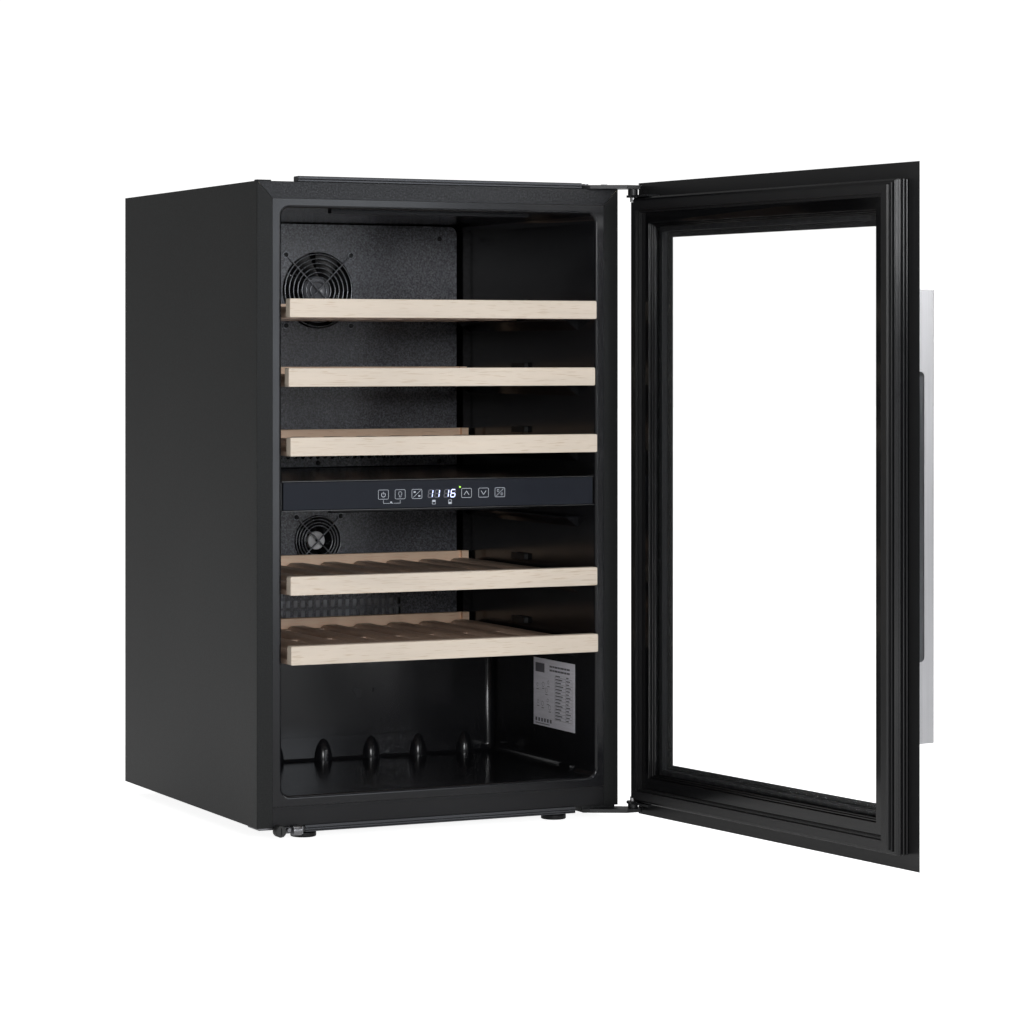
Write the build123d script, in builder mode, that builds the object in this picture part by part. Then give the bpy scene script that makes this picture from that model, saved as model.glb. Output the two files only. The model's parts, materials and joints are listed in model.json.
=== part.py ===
"""Two-zone built-in wine cooler with a glass door and five beech shelves.

Millimetres. +Z is up and +Y runs from the front of the cabinet to its back. The origin lies on the
floor, under the middle of the cabinet's front plane. The door is drawn shut and then swung open to
the angle at which the cooler stands.
"""

import os

from build123d import *

os.makedirs("parts", exist_ok=True)

# ---- driving dimensions -----------------------------------------------------------------------
# cabinet
FOOT_HEIGHT = 19.0
BODY_WIDTH = 545.0
BODY_DEPTH = 517.0
BODY_HEIGHT = 861.0
SHEET = 1.0
STILE_WIDTH = 22.5
FASCIA_HEIGHT = 23.5
FLANGE_BOTTOM = 46.5
FLANGE_TOP = 857.0

# inner liner
OPENING_WIDTH = 473.0
OPENING_BOTTOM = 60.0
OPENING_TOP = 845.0
LINER_BACK = 462.0
LINER_WALL = 2.0
STEP_FRONT = 325.0
STEP_TOP = 214.0
LIP_RADIUS = 4.0
OPENING_CORNER = 12.0
BAND_HALF = 217.0
BAND_HEIGHT = 35.0
BAND_RISE = 3.0
BUMP_PITCH = 76.0
BUMP_RADIUS = 15.0
BUMP_HEIGHT = 34.0

# shelves
SHELF_LEVELS = (0, 1, 2, 4, 5)
SHELF_FRONTS = (-14.5, -10.5, -16.5, -17.0, -19.0)
SHELF_HOME_FRONT = -6.0
SHELF_WIDTH = 462.0
SHELF_DEPTH = 423.0
BOARD_HEIGHT = 25.0
BOARD_THICKNESS = 14.0
SLAT_PITCH = 53.2
SLAT_WIDTH = 26.0
SLAT_COUNT = 9
LEDGE_WIDTH = 18.0
LEDGE_HEIGHT = 15.0
LEDGE_PITCH = 92.5
LEDGE_TOP = 698.0
SHELF_GAP = 0.5

# zone divider
DIVIDER_BOTTOM = 439.0
DIVIDER_TOP = 480.0

# cold-air covers and fans
COVER_FRONT = 430.0
COVER_WIDTH = 435.0
COVER_SHEET = 1.2
RIM_HALF = 231.0
RIM_SETBACK = 4.0
RIM_CORNER = 12.0
HOLE_PITCH = 12.0
UPPER_FAN_SIZE = 120.0
UPPER_FAN_PITCH = 105.0
UPPER_FAN_HEIGHT = 744.5
LOWER_FAN_SIZE = 80.0
LOWER_FAN_PITCH = 71.5
LOWER_FAN_HEIGHT = 372.0
FAN_DEPTH = 25.0

# door
GLASS_WIDTH = 592.0
GLASS_HEIGHT = 885.0
GLASS_BOTTOM = 5.0
GLASS_THICKNESS = 4.0
GLASS_FACE = -37.0
FRAME_WIDTH = 554.0
FRAME_BOTTOM = 25.5
FRAME_TOP = 868.0
FRAME_FRONT = -9.5
GASKET_FACE = -1.0
PANE_FACE = -21.5
PANE_THICKNESS = 3.0
HANDLE_LENGTH = 565.0
HANDLE_WIDTH = 34.0
HANDLE_DEPTH = 24.5
HANDLE_SHEET = 1.5
HANDLE_INSET = 6.0
HANDLE_MIDDLE = 447.0
FINGER_LENGTH = 361.0
FINGER_DEPTH = 8.0

# hinges
PIVOT_X = 287.0
PIVOT_Y = -17.0
DOOR_ANGLE = 97.0
PIN_RADIUS = 4.0
RUNNING_FIT = 0.05
PLATE_THICKNESS = 5.0

# feet
FOOT_X = 190.0
FOOT_FRONT_Y = 37.0
FOOT_BACK_Y = 480.0
FOOT_RADIUS = 17.5
STEM_RADIUS = 5.0

# machine compartment
COMPARTMENT_FRONT = 366.0
COMPARTMENT_TOP = 172.0

GAP = 0.2

# ---- derived dimensions -----------------------------------------------------------------------
HALF = BODY_WIDTH / 2
BODY_BOTTOM = FOOT_HEIGHT
BODY_TOP = BODY_BOTTOM + BODY_HEIGHT
INNER_HALF = HALF - SHEET
STILE_INNER = HALF - STILE_WIDTH
OPENING_HALF = OPENING_WIDTH / 2
SHELF_HALF = SHELF_WIDTH / 2
GLASS_BACK = GLASS_FACE + GLASS_THICKNESS
LEDGE_TOPS = [LEDGE_TOP - LEDGE_PITCH * level for level in range(6)]
SHELF_TOPS = [LEDGE_TOPS[level] + SHELF_GAP + BOARD_HEIGHT for level in SHELF_LEVELS]
DOOR_OPEN = (
    Location((PIVOT_X, PIVOT_Y, 0))
    * Location((0, 0, 0), (0, 0, DOOR_ANGLE))
    * Location((-PIVOT_X, -PIVOT_Y, 0))
)
AT_REST = Location((0, 0, 0))


def block(x, y, z, mode=Mode.ADD):
    """A box between two limits along each axis, inside the part being built."""
    with Locations(((x[0] + x[1]) / 2, (y[0] + y[1]) / 2, (z[0] + z[1]) / 2)):
        Box(x[1] - x[0], y[1] - y[0], z[1] - z[0], mode=mode)


def rod_y(x, z, y, radius, mode=Mode.ADD):
    """A round bar along Y between two limits, inside the part being built."""
    with Locations((x, (y[0] + y[1]) / 2, z)):
        Cylinder(radius, y[1] - y[0], rotation=(90, 0, 0), mode=mode)


def rod_z(x, y, z, radius, mode=Mode.ADD):
    """A round bar along Z between two limits, inside the part being built."""
    with Locations((x, y, (z[0] + z[1]) / 2)):
        Cylinder(radius, z[1] - z[0], mode=mode)


def front_plane(y):
    """A sketch plane facing the front of the cooler at depth y, with X to the right and Y up."""
    return Plane(origin=(0, y, 0), x_dir=(1, 0, 0), z_dir=(0, -1, 0))


def ring_sketch(half_outer, half_inner, bottom, top, edge, corner=0.0):
    """A rectangular ring: outer limits, and a hole that is smaller by edge above and below."""
    middle = (bottom + top) / 2
    height = top - bottom
    with Locations((0, middle)):
        Rectangle(2 * half_outer, height)
        if corner:
            RectangleRounded(2 * half_inner, height - 2 * edge, corner, mode=Mode.SUBTRACT)
        else:
            Rectangle(2 * half_inner, height - 2 * edge, mode=Mode.SUBTRACT)


def finish(builder, name, place=AT_REST):
    """Label a finished piece, set it in its resting place and write it out."""
    piece = builder.part.moved(place)
    piece.label = name
    export_step(piece, f"parts/{name}.step")
    print(name, round(piece.volume))


# ---- cabinet shell ----------------------------------------------------------------------------
def make_side_panel(name, side):
    """One side panel with the front flange that is folded in along its edge."""
    outer = side * HALF
    inner = side * INNER_HALF
    fold = side * STILE_INNER
    tab_end = side * (STILE_INNER + 2)
    with BuildPart() as panel:
        block(sorted((outer, inner)), (0, BODY_DEPTH), (BODY_BOTTOM, BODY_TOP))
        with BuildSketch(front_plane(0)) as stile:
            with BuildLine():
                Polyline(
                    (outer, BODY_BOTTOM),
                    (outer, BODY_TOP),
                    (fold, FLANGE_TOP + GAP),
                    (fold, BODY_BOTTOM),
                    close=True,
                )
            make_face()
        extrude(amount=-SHEET)
        if side < 0:
            block(sorted((outer, tab_end)), (0, 9), (BODY_TOP, BODY_TOP + 1.5))
        corner = panel.edges().filter_by(Axis.Z).sort_by(Axis.Y)[:2].sort_by(Axis.X)
        fillet(corner[-1 if side > 0 else 0], 0.8)
    finish(panel, name)


make_side_panel("side_panel_left", -1)
make_side_panel("side_panel_right", 1)

with BuildPart() as top_panel:
    block(
        (-INNER_HALF + GAP, INNER_HALF - GAP),
        (SHEET + GAP, BODY_DEPTH - SHEET - GAP),
        (BODY_TOP - SHEET, BODY_TOP),
    )
    with BuildSketch(front_plane(0)) as rail:
        with BuildLine():
            Polyline(
                (-STILE_INNER + GAP, FLANGE_TOP + GAP),
                (-INNER_HALF + GAP, BODY_TOP - GAP),
                (INNER_HALF - GAP, BODY_TOP - GAP),
                (STILE_INNER - GAP, FLANGE_TOP + GAP),
                close=True,
            )
        make_face()
    extrude(amount=-SHEET)
    # The fold that joins the rail to the top sheet.
    block(
        (-STILE_INNER, STILE_INNER),
        (GAP, SHEET + 2 * GAP),
        (BODY_TOP - 2 * SHEET, BODY_TOP),
    )
finish(top_panel, "top_panel")

CUTOUT_HALF = 225.0
CUTOUT_BOTTOM = 34.0
CUTOUT_TOP = 160.0
with BuildPart() as back_panel:
    block(
        (-INNER_HALF + GAP, INNER_HALF - GAP),
        (BODY_DEPTH - SHEET, BODY_DEPTH),
        (BODY_BOTTOM, BODY_TOP),
    )
    block(
        (-CUTOUT_HALF, CUTOUT_HALF),
        (BODY_DEPTH - 2 * SHEET, BODY_DEPTH + SHEET),
        (CUTOUT_BOTTOM, CUTOUT_TOP),
        mode=Mode.SUBTRACT,
    )
finish(back_panel, "back_panel")

FOOT_PLACES = {
    "foot_front_left": (-FOOT_X, FOOT_FRONT_Y),
    "foot_front_right": (FOOT_X, FOOT_FRONT_Y),
    "foot_rear_left": (-FOOT_X, FOOT_BACK_Y),
    "foot_rear_right": (FOOT_X, FOOT_BACK_Y),
}
PAN_SHEET = 1.2
with BuildPart() as base_pan:
    block(
        (-INNER_HALF + GAP, INNER_HALF - GAP),
        (SHEET + GAP, BODY_DEPTH - SHEET - GAP),
        (BODY_BOTTOM, BODY_BOTTOM + PAN_SHEET),
    )
    for foot_x, foot_y in FOOT_PLACES.values():
        rod_z(foot_x, foot_y, (BODY_BOTTOM - 4, BODY_BOTTOM), 9.0)
        rod_z(
            foot_x,
            foot_y,
            (BODY_BOTTOM - 5, BODY_BOTTOM + 5),
            STEM_RADIUS + RUNNING_FIT,
            mode=Mode.SUBTRACT,
        )
finish(base_pan, "base_pan")

with BuildPart() as bottom_fascia:
    block(
        (-STILE_INNER + GAP, STILE_INNER - GAP),
        (0, SHEET),
        (BODY_BOTTOM + PAN_SHEET + GAP, FLANGE_BOTTOM - GAP),
    )
    with Locations((0, 0.8, FLANGE_BOTTOM - 2.2)):
        Box(2 * STILE_INNER - 2 * GAP, 2.0, 2.4)
finish(bottom_fascia, "bottom_fascia")

# ---- liner ------------------------------------------------------------------------------------
with BuildPart() as inner_liner:
    with BuildSketch(Plane.YZ.offset(-OPENING_HALF - LINER_WALL)) as outside:
        with BuildLine():
            Polyline(
                (0, OPENING_BOTTOM - LINER_WALL),
                (STEP_FRONT + LINER_WALL, OPENING_BOTTOM - LINER_WALL),
                (STEP_FRONT + LINER_WALL, STEP_TOP - LINER_WALL),
                (LINER_BACK, STEP_TOP - LINER_WALL),
                (LINER_BACK, OPENING_TOP + LINER_WALL),
                (0, OPENING_TOP + LINER_WALL),
                close=True,
            )
        make_face()
    extrude(amount=OPENING_WIDTH + 2 * LINER_WALL)
    with BuildSketch(front_plane(0)) as flange:
        with Locations((0, (FLANGE_BOTTOM + FLANGE_TOP) / 2)):
            Rectangle(2 * STILE_INNER - 2 * GAP, FLANGE_TOP - FLANGE_BOTTOM)
    extrude(amount=-6)
    with BuildPart(mode=Mode.PRIVATE) as cavity:
        with BuildSketch(Plane.YZ.offset(-OPENING_HALF)) as inside:
            with BuildLine():
                Polyline(
                    (-1, OPENING_BOTTOM),
                    (STEP_FRONT, OPENING_BOTTOM),
                    (STEP_FRONT, STEP_TOP),
                    (LINER_BACK - LINER_WALL, STEP_TOP),
                    (LINER_BACK - LINER_WALL, OPENING_TOP),
                    (-1, OPENING_TOP),
                    close=True,
                )
            make_face()
        extrude(amount=OPENING_WIDTH)
        uprights = cavity.edges().filter_by(Axis.Z)
        fillet(uprights.filter_by_position(Axis.Y, STEP_FRONT - 1, STEP_FRONT + 1), 10)
        uprights = cavity.edges().filter_by(Axis.Z)
        fillet(uprights.group_by(Axis.Y)[-1], 18)
        depth_edges = cavity.edges().filter_by(Axis.Y).group_by(Axis.Z)
        fillet(depth_edges[0] + depth_edges[-1], OPENING_CORNER)
    add(cavity.part, mode=Mode.SUBTRACT)
    mouth = inner_liner.faces().filter_by(Axis.Y).sort_by(Axis.Y)[0].inner_wires()[0]
    fillet(mouth.edges(), LIP_RADIUS)
    # Six pairs of ledges carry the shelves, with undersides that slope up from the wall.
    for ledge_top in LEDGE_TOPS:
        for side in (-1, 1):
            wall = side * (OPENING_HALF + 1)
            edge = side * (OPENING_HALF - LEDGE_WIDTH)
            with BuildSketch(front_plane(52)) as ledge:
                with BuildLine():
                    Polyline(
                        (wall, ledge_top),
                        (edge, ledge_top),
                        (edge, ledge_top - 2),
                        (wall, ledge_top - LEDGE_HEIGHT),
                        close=True,
                    )
                make_face()
            extrude(amount=-350)
    # Low blocks at both ends of the floor's front edge.
    for side in (-1, 1):
        block(
            sorted((side * (OPENING_HALF + 1), side * (OPENING_HALF - 9))),
            (60, 92),
            (OPENING_BOTTOM - 1, OPENING_BOTTOM + 9),
        )
    # A raised band along the foot of the lower back wall, with six bumps that part the bottles.
    with BuildSketch(front_plane(STEP_FRONT - BAND_RISE)) as band:
        with Locations((0, OPENING_BOTTOM - 1 + BAND_HEIGHT / 2)):
            Rectangle(2 * BAND_HALF, BAND_HEIGHT)
        fillet(band.vertices().group_by(Axis.Y)[-1], 10)
    extrude(amount=-BAND_RISE - 1)
    for bump in range(6):
        bump_x = (bump - 2.5) * BUMP_PITCH
        foot_of_wall = Plane(
            origin=(bump_x, STEP_FRONT + 1, OPENING_BOTTOM - 1),
            x_dir=(1, 0, 0),
            z_dir=(0, -1, 0),
        )
        with BuildSketch(foot_of_wall) as bump_side:
            with BuildLine():
                Line((0, 0), (BUMP_RADIUS, 0))
                shoulder = (BUMP_RADIUS, BUMP_HEIGHT / 2)
                Bezier((BUMP_RADIUS, 0), shoulder, (BUMP_RADIUS / 2, BUMP_HEIGHT), (0, BUMP_HEIGHT))
                Line((0, BUMP_HEIGHT), (0, 0))
            make_face()
        upright = Axis((bump_x, STEP_FRONT + 1, 0), (0, 0, -1))
        revolve(axis=upright, revolution_arc=180)
finish(inner_liner, "inner_liner")

with BuildPart() as insulation_foam:
    block(
        (-INNER_HALF + 0.3, INNER_HALF - 0.3),
        (SHEET + 0.9, BODY_DEPTH - SHEET - 0.3),
        (BODY_BOTTOM + PAN_SHEET + 0.3, BODY_TOP - SHEET - 0.3),
    )
    clear = OPENING_HALF + LINER_WALL + 0.3
    low = OPENING_BOTTOM - LINER_WALL - 0.3
    block(
        (-clear, clear),
        (0, STEP_FRONT + LINER_WALL + 0.3),
        (low, OPENING_TOP + LINER_WALL + 0.3),
        mode=Mode.SUBTRACT,
    )
    block(
        (-clear, clear),
        (0, LINER_BACK + 0.3),
        (STEP_TOP - LINER_WALL - 0.3, OPENING_TOP + LINER_WALL + 0.3),
        mode=Mode.SUBTRACT,
    )
    block(
        (-STILE_INNER, STILE_INNER),
        (0, 6.3),
        (FLANGE_BOTTOM - 0.3, FLANGE_TOP + 0.3),
        mode=Mode.SUBTRACT,
    )
    block(
        (-CUTOUT_HALF - 15, CUTOUT_HALF + 15),
        (COMPARTMENT_FRONT, BODY_DEPTH),
        (BODY_BOTTOM, COMPARTMENT_TOP),
        mode=Mode.SUBTRACT,
    )
    block((-300, 300), (0, 3.0), (0, FLANGE_BOTTOM), mode=Mode.SUBTRACT)
    for foot_x, foot_y in FOOT_PLACES.values():
        rod_z(foot_x, foot_y, (BODY_BOTTOM, BODY_BOTTOM + 26), 7.0, mode=Mode.SUBTRACT)
finish(insulation_foam, "insulation_foam")

STOP_FRONT = 205.0
STOP_BACK = 247.0
with BuildPart() as shelf_stops:
    for shelf_top in SHELF_TOPS:
        for side in (-1, 1):
            block(
                sorted((side * (OPENING_HALF - 0.3), side * (SHELF_HALF - 1))),
                (STOP_FRONT, STOP_BACK),
                (shelf_top - 3, shelf_top + 6),
            )
    fillet(shelf_stops.edges().filter_by(Axis.X), 2)
finish(shelf_stops, "shelf_stops")

with BuildPart() as rating_label:
    block((OPENING_HALF - 0.5, OPENING_HALF - 0.2), (60, 187), (114, 211))
finish(rating_label, "rating_label")

# ---- trim bars --------------------------------------------------------------------------------
TRIM_HALF = 214.0
with BuildPart() as top_trim_bar:
    block((-TRIM_HALF, TRIM_HALF), (-3, 14), (BODY_TOP + 0.3, BODY_TOP + 7.5))
    with Locations((0, -3, BODY_TOP + 3.2)):
        Box(2 * TRIM_HALF, 1.6, 1.0, mode=Mode.SUBTRACT)
    chamfer(top_trim_bar.edges().filter_by(Axis.X).group_by(Axis.Z)[-1], 0.8)
finish(top_trim_bar, "top_trim_bar")

with BuildPart() as bottom_trim_bar:
    block((-204, 204), (-3, 15), (BODY_BOTTOM - 7.5, BODY_BOTTOM - 0.3))
    block((-204, 204), (-3, -0.4), (BODY_BOTTOM - 1, BODY_BOTTOM + 1.3))
    for ridge in (2.6, 5.6):
        with Locations((0, -3, BODY_BOTTOM - ridge)):
            Box(410, 2.0, 1.0, mode=Mode.SUBTRACT)
finish(bottom_trim_bar, "bottom_trim_bar")

# ---- zone divider and control panel -----------------------------------------------------------
POCKET_HALF = 100.0
with BuildPart() as zone_divider:
    block(
        (-OPENING_HALF + 0.3, OPENING_HALF - 0.3),
        (6, COVER_FRONT - 0.5),
        (DIVIDER_BOTTOM, DIVIDER_TOP),
    )
    for lip_bottom in (DIVIDER_BOTTOM, DIVIDER_TOP - 1.6):
        block(
            (-OPENING_HALF + 0.3, OPENING_HALF - 0.3),
            (1.5, 6.5),
            (lip_bottom, lip_bottom + 1.6),
        )
    block(
        (-POCKET_HALF, POCKET_HALF),
        (5, 15),
        (DIVIDER_BOTTOM + 6, DIVIDER_TOP - 6),
        mode=Mode.SUBTRACT,
    )
finish(zone_divider, "zone_divider")

with BuildPart() as control_glass:
    block(
        (-OPENING_HALF + 3, OPENING_HALF - 3),
        (2.4, 5.8),
        (DIVIDER_BOTTOM + 1.8, DIVIDER_TOP - 1.8),
    )
    chamfer(control_glass.edges().filter_by(Axis.X).group_by(Axis.Y)[0], 0.4)
finish(control_glass, "control_glass")

with BuildPart() as control_board:
    block((-95, 95), (9, 10.6), (DIVIDER_BOTTOM + 8, DIVIDER_TOP - 8))
    # The two-digit display of each zone stands on the board, behind the glass.
    for digits_x in (-11.5, 12.5):
        block((digits_x - 10, digits_x + 10), (6.2, 9), (453, 467))
    # Touch springs under the six keys.
    for key_x in (-85, -60, -35, 41, 66, 91):
        rod_y(key_x, 460, (6.2, 9), 3.2)
finish(control_board, "control_board")

with BuildPart() as light_bars:
    for bar_top in (OPENING_TOP - 0.2, DIVIDER_BOTTOM - 0.2):
        block((-150, 150), (34, 46), (bar_top - 4.5, bar_top))
    chamfer(light_bars.edges().filter_by(Axis.X).group_by(Axis.Z)[0], 1.2)
finish(light_bars, "light_bars")


# ---- evaporator covers and fans ---------------------------------------------------------------
def make_cover(name, bottom, top, rim_top, fan_height, fan_radius, fan_pitch, rows, slot):
    """A folded cover in front of an evaporator, with its rim, fan opening and air holes."""
    half = COVER_WIDTH / 2
    back = LINER_BACK - LINER_WALL - 2.0
    with BuildPart() as cover:
        block((-half, half), (COVER_FRONT, back), (bottom, top))
        with BuildSketch(front_plane(COVER_FRONT + RIM_SETBACK)) as rim:
            with Locations((0, (bottom + rim_top) / 2)):
                Rectangle(2 * RIM_HALF, rim_top - bottom)
            fillet(rim.vertices().group_by(Axis.Y)[-1], RIM_CORNER)
        extrude(amount=-COVER_SHEET)
        block(
            (-half + COVER_SHEET, half - COVER_SHEET),
            (COVER_FRONT + COVER_SHEET, back + 1),
            (bottom + COVER_SHEET, top - COVER_SHEET),
            mode=Mode.SUBTRACT,
        )
        through = (COVER_FRONT - 1, COVER_FRONT + 3)
        rod_y(0, fan_height, through, fan_radius, mode=Mode.SUBTRACT)
        with BuildSketch(front_plane(COVER_FRONT - 1)) as holes:
            for row_height in rows:
                with Locations((0, row_height)):
                    with GridLocations(HOLE_PITCH, 1, 23, 1):
                        if slot:
                            RectangleRounded(6.6, slot, 1.5)
                        else:
                            Circle(3.6)
        extrude(amount=-4, mode=Mode.SUBTRACT)
        with BuildSketch(front_plane(COVER_FRONT - 1)) as screw_holes:
            with Locations((0, fan_height)):
                with GridLocations(fan_pitch, fan_pitch, 2, 2):
                    Circle(1.9)
        extrude(amount=-4, mode=Mode.SUBTRACT)
    finish(cover, name)


UPPER_ROWS = [497.0 + HOLE_PITCH * row for row in range(4)]
LOWER_ROWS = [263.0 + 15.0 * row for row in range(3)]
make_cover(
    "evaporator_cover_upper", 482, 839, 843, UPPER_FAN_HEIGHT, 57, UPPER_FAN_PITCH, UPPER_ROWS, 0
)
make_cover(
    "evaporator_cover_lower", 216, 437, 437, LOWER_FAN_HEIGHT, 38, LOWER_FAN_PITCH, LOWER_ROWS, 11
)


def make_evaporator(name, bottom, passes):
    """A flat plate evaporator with its refrigerant tube running to and fro across it."""
    half = 190.0
    pitch = 24.0
    with BuildPart() as evaporator:
        plate_top = bottom + pitch * passes
        block((-half - 12, half + 12), (444, 445.5), (bottom, plate_top))
        corners = []
        for row in range(passes):
            height = bottom + pitch * (row + 0.5)
            ends = (-half, half) if row % 2 == 0 else (half, -half)
            corners += [(ends[0], height), (ends[1], height)]
        with BuildSketch(front_plane(444)) as channel:
            with BuildLine() as route:
                FilletPolyline(*corners, radius=9)
            trace(line_width=8)
        extrude(amount=3.5)
    finish(evaporator, name)


make_evaporator("evaporator_upper", 548, 5)
make_evaporator("evaporator_lower", 232, 3)


def make_fan(which, size, pitch, height):
    """A square axial fan behind its cover, with its turning impeller and a wire guard in front."""
    front = COVER_FRONT + COVER_SHEET + GAP
    back = front + FAN_DEPTH
    bore = size / 2 - 2.5
    hub = size * 0.17
    shaft = 2.0
    with BuildPart() as fan_frame:
        block((-size / 2, size / 2), (front, back), (height - size / 2, height + size / 2))
        fillet(fan_frame.edges().filter_by(Axis.Y), 4)
        rod_y(0, height, (front - 1, back + 1), bore, mode=Mode.SUBTRACT)
        with BuildSketch(front_plane(front - 1)) as fixings:
            with Locations((0, height)):
                with GridLocations(pitch, pitch, 2, 2):
                    Circle(2.15)
        extrude(amount=-FAN_DEPTH - 2, mode=Mode.SUBTRACT)
        # The motor rests on four arms at the back, and its shaft reaches forward.
        rod_y(0, height, (back - 6, back), hub)
        for angle in (45, 135):
            with Locations(Location((0, back - 2, height), (0, angle, 0))):
                Box(2 * bore + 3, 4, 5)
        rod_y(0, height, (front + 5, back), shaft)
    finish(fan_frame, f"fan_frame_{which}")

    with BuildPart() as impeller:
        rod_y(0, height, (front + 3.5, back - 7), hub)
        for blade in range(7):
            angle = 360 / 7 * blade
            with Locations(Location((0, (front + back) / 2 - 2, height), (0, angle, 0))):
                with Locations(Location(((hub + bore) / 2 - 2, 0, 0), (38, 0, 0))):
                    Box(bore - hub, 1.6, size * 0.2)
        rod_y(0, height, (front + 4.5, back), shaft + RUNNING_FIT, mode=Mode.SUBTRACT)
    finish(impeller, f"fan_impeller_{which}")

    wire = 0.9
    wire_y = COVER_FRONT - 2.2
    reach = pitch / 2**0.5
    rings = 7 if size > 100 else 4
    with BuildPart() as fan_guard:
        for angle in (45, -45):
            with Locations(Location((0, wire_y, height), (0, angle, 0))):
                Cylinder(wire + 0.2, 2 * reach - 8, rotation=(0, 90, 0))
        for ring in range(rings):
            radius = size * 0.45 - ring * size * 0.057
            with Locations((0, wire_y, height)):
                Torus(radius, wire, rotation=(90, 0, 0))
        for corner_x in (-pitch / 2, pitch / 2):
            for corner_z in (height - pitch / 2, height + pitch / 2):
                eyelet = (wire_y - 1, COVER_FRONT - GAP)
                rod_y(corner_x, corner_z, eyelet, 4.4)
                rod_y(corner_x, corner_z, (wire_y - 2, COVER_FRONT), 2.1, mode=Mode.SUBTRACT)
    finish(fan_guard, f"fan_guard_{which}")


make_fan("upper", UPPER_FAN_SIZE, UPPER_FAN_PITCH, UPPER_FAN_HEIGHT)
make_fan("lower", LOWER_FAN_SIZE, LOWER_FAN_PITCH, LOWER_FAN_HEIGHT)

with BuildPart() as cover_screws:
    for screw_x, screw_z in (
        (-200, 824),
        (200, 824),
        (-200, 487.5),
        (0, 487.5),
        (200, 487.5),
        (-200, 425),
        (200, 425),
        (-200, 228),
        (200, 228),
    ):
        rod_y(screw_x, screw_z, (COVER_FRONT - 2.2, COVER_FRONT), 3.6)
    for fan_pitch, fan_height in (
        (UPPER_FAN_PITCH, UPPER_FAN_HEIGHT),
        (LOWER_FAN_PITCH, LOWER_FAN_HEIGHT),
    ):
        for screw_x in (-fan_pitch / 2, fan_pitch / 2):
            for screw_z in (fan_height - fan_pitch / 2, fan_height + fan_pitch / 2):
                rod_y(screw_x, screw_z, (COVER_FRONT - 3.2, COVER_FRONT + 24), 1.7)
                rod_y(screw_x, screw_z, (COVER_FRONT - 5.4, COVER_FRONT - 3.2), 3.6)
finish(cover_screws, "cover_screws")

# ---- hinges -----------------------------------------------------------------------------------
PLATE_INNER = 217.0
PLATE_OUTER = HALF - 3.0
PLATE_BACK = 52.0
HINGE_SCREWS = ((228, 14), (258, 14), (243, 42))


def make_hinge_plate(name, bottom, pad):
    """A hinge plate: its wide end is screwed to the cabinet, its arm carries the door's pin."""
    with BuildPart() as plate:
        with BuildSketch(Plane.XY.offset(bottom)) as outline:
            with BuildLine():
                Polyline(
                    (PLATE_INNER, 4),
                    (PLATE_INNER + 8, -6),
                    (PIVOT_X - 16, PIVOT_Y - 12),
                    (PIVOT_X + 6, PIVOT_Y - 12),
                    (PIVOT_X + 13, PIVOT_Y - 4),
                    (PIVOT_X + 13, PIVOT_Y + 6),
                    (PLATE_OUTER, 8),
                    (PLATE_OUTER, PLATE_BACK - 8),
                    (PLATE_OUTER - 8, PLATE_BACK),
                    (PLATE_INNER + 8, PLATE_BACK),
                    (PLATE_INNER, PLATE_BACK - 8),
                    close=True,
                )
            make_face()
            fillet(outline.vertices(), 2)
        extrude(amount=PLATE_THICKNESS)
        if pad:
            block((PLATE_INNER + 1, PLATE_OUTER - 1), (3, PLATE_BACK - 4), pad)
        top_edges = plate.faces().sort_by(Axis.Z)[-1].edges()
        if not pad:
            chamfer(top_edges, 0.8)
        rod_z(
            PIVOT_X,
            PIVOT_Y,
            (bottom - 1, bottom + PLATE_THICKNESS + 1),
            PIN_RADIUS,
            mode=Mode.SUBTRACT,
        )
        for screw_x, screw_y in HINGE_SCREWS:
            rod_z(screw_x, screw_y, (bottom - 5, bottom + 12), 2.6, mode=Mode.SUBTRACT)
    finish(plate, name)


TOP_PLATE_Z = BODY_TOP + 0.1
LOW_PLATE_Z = BODY_BOTTOM - 8.0
make_hinge_plate("hinge_plate_top", TOP_PLATE_Z, None)
make_hinge_plate(
    "hinge_plate_bottom",
    LOW_PLATE_Z,
    (LOW_PLATE_Z + PLATE_THICKNESS, BODY_BOTTOM - 0.1),
)

TOP_BRACKET_Z = FRAME_TOP + 0.2
LOW_BRACKET_Z = FRAME_BOTTOM - 3.2
BRACKET_THICKNESS = 3.0
with BuildPart() as hinge_pins:
    rod_z(PIVOT_X, PIVOT_Y, (TOP_BRACKET_Z - 6, TOP_PLATE_Z + PLATE_THICKNESS), PIN_RADIUS)
    rod_z(PIVOT_X, PIVOT_Y, (LOW_PLATE_Z, LOW_BRACKET_Z + 9), PIN_RADIUS)
finish(hinge_pins, "hinge_pins")

with BuildPart() as hinge_screws:
    for screw_x, screw_y in HINGE_SCREWS:
        plate_top = TOP_PLATE_Z + PLATE_THICKNESS
        rod_z(screw_x, screw_y, (TOP_PLATE_Z + 0.1, plate_top), 2.5)
        rod_z(screw_x, screw_y, (plate_top, plate_top + 2.2), 4.5)
        rod_z(screw_x, screw_y, (LOW_PLATE_Z, BODY_BOTTOM - 0.2), 2.5)
        rod_z(screw_x, screw_y, (LOW_PLATE_Z - 2.2, LOW_PLATE_Z), 4.5)
finish(hinge_screws, "hinge_screws")

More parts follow.
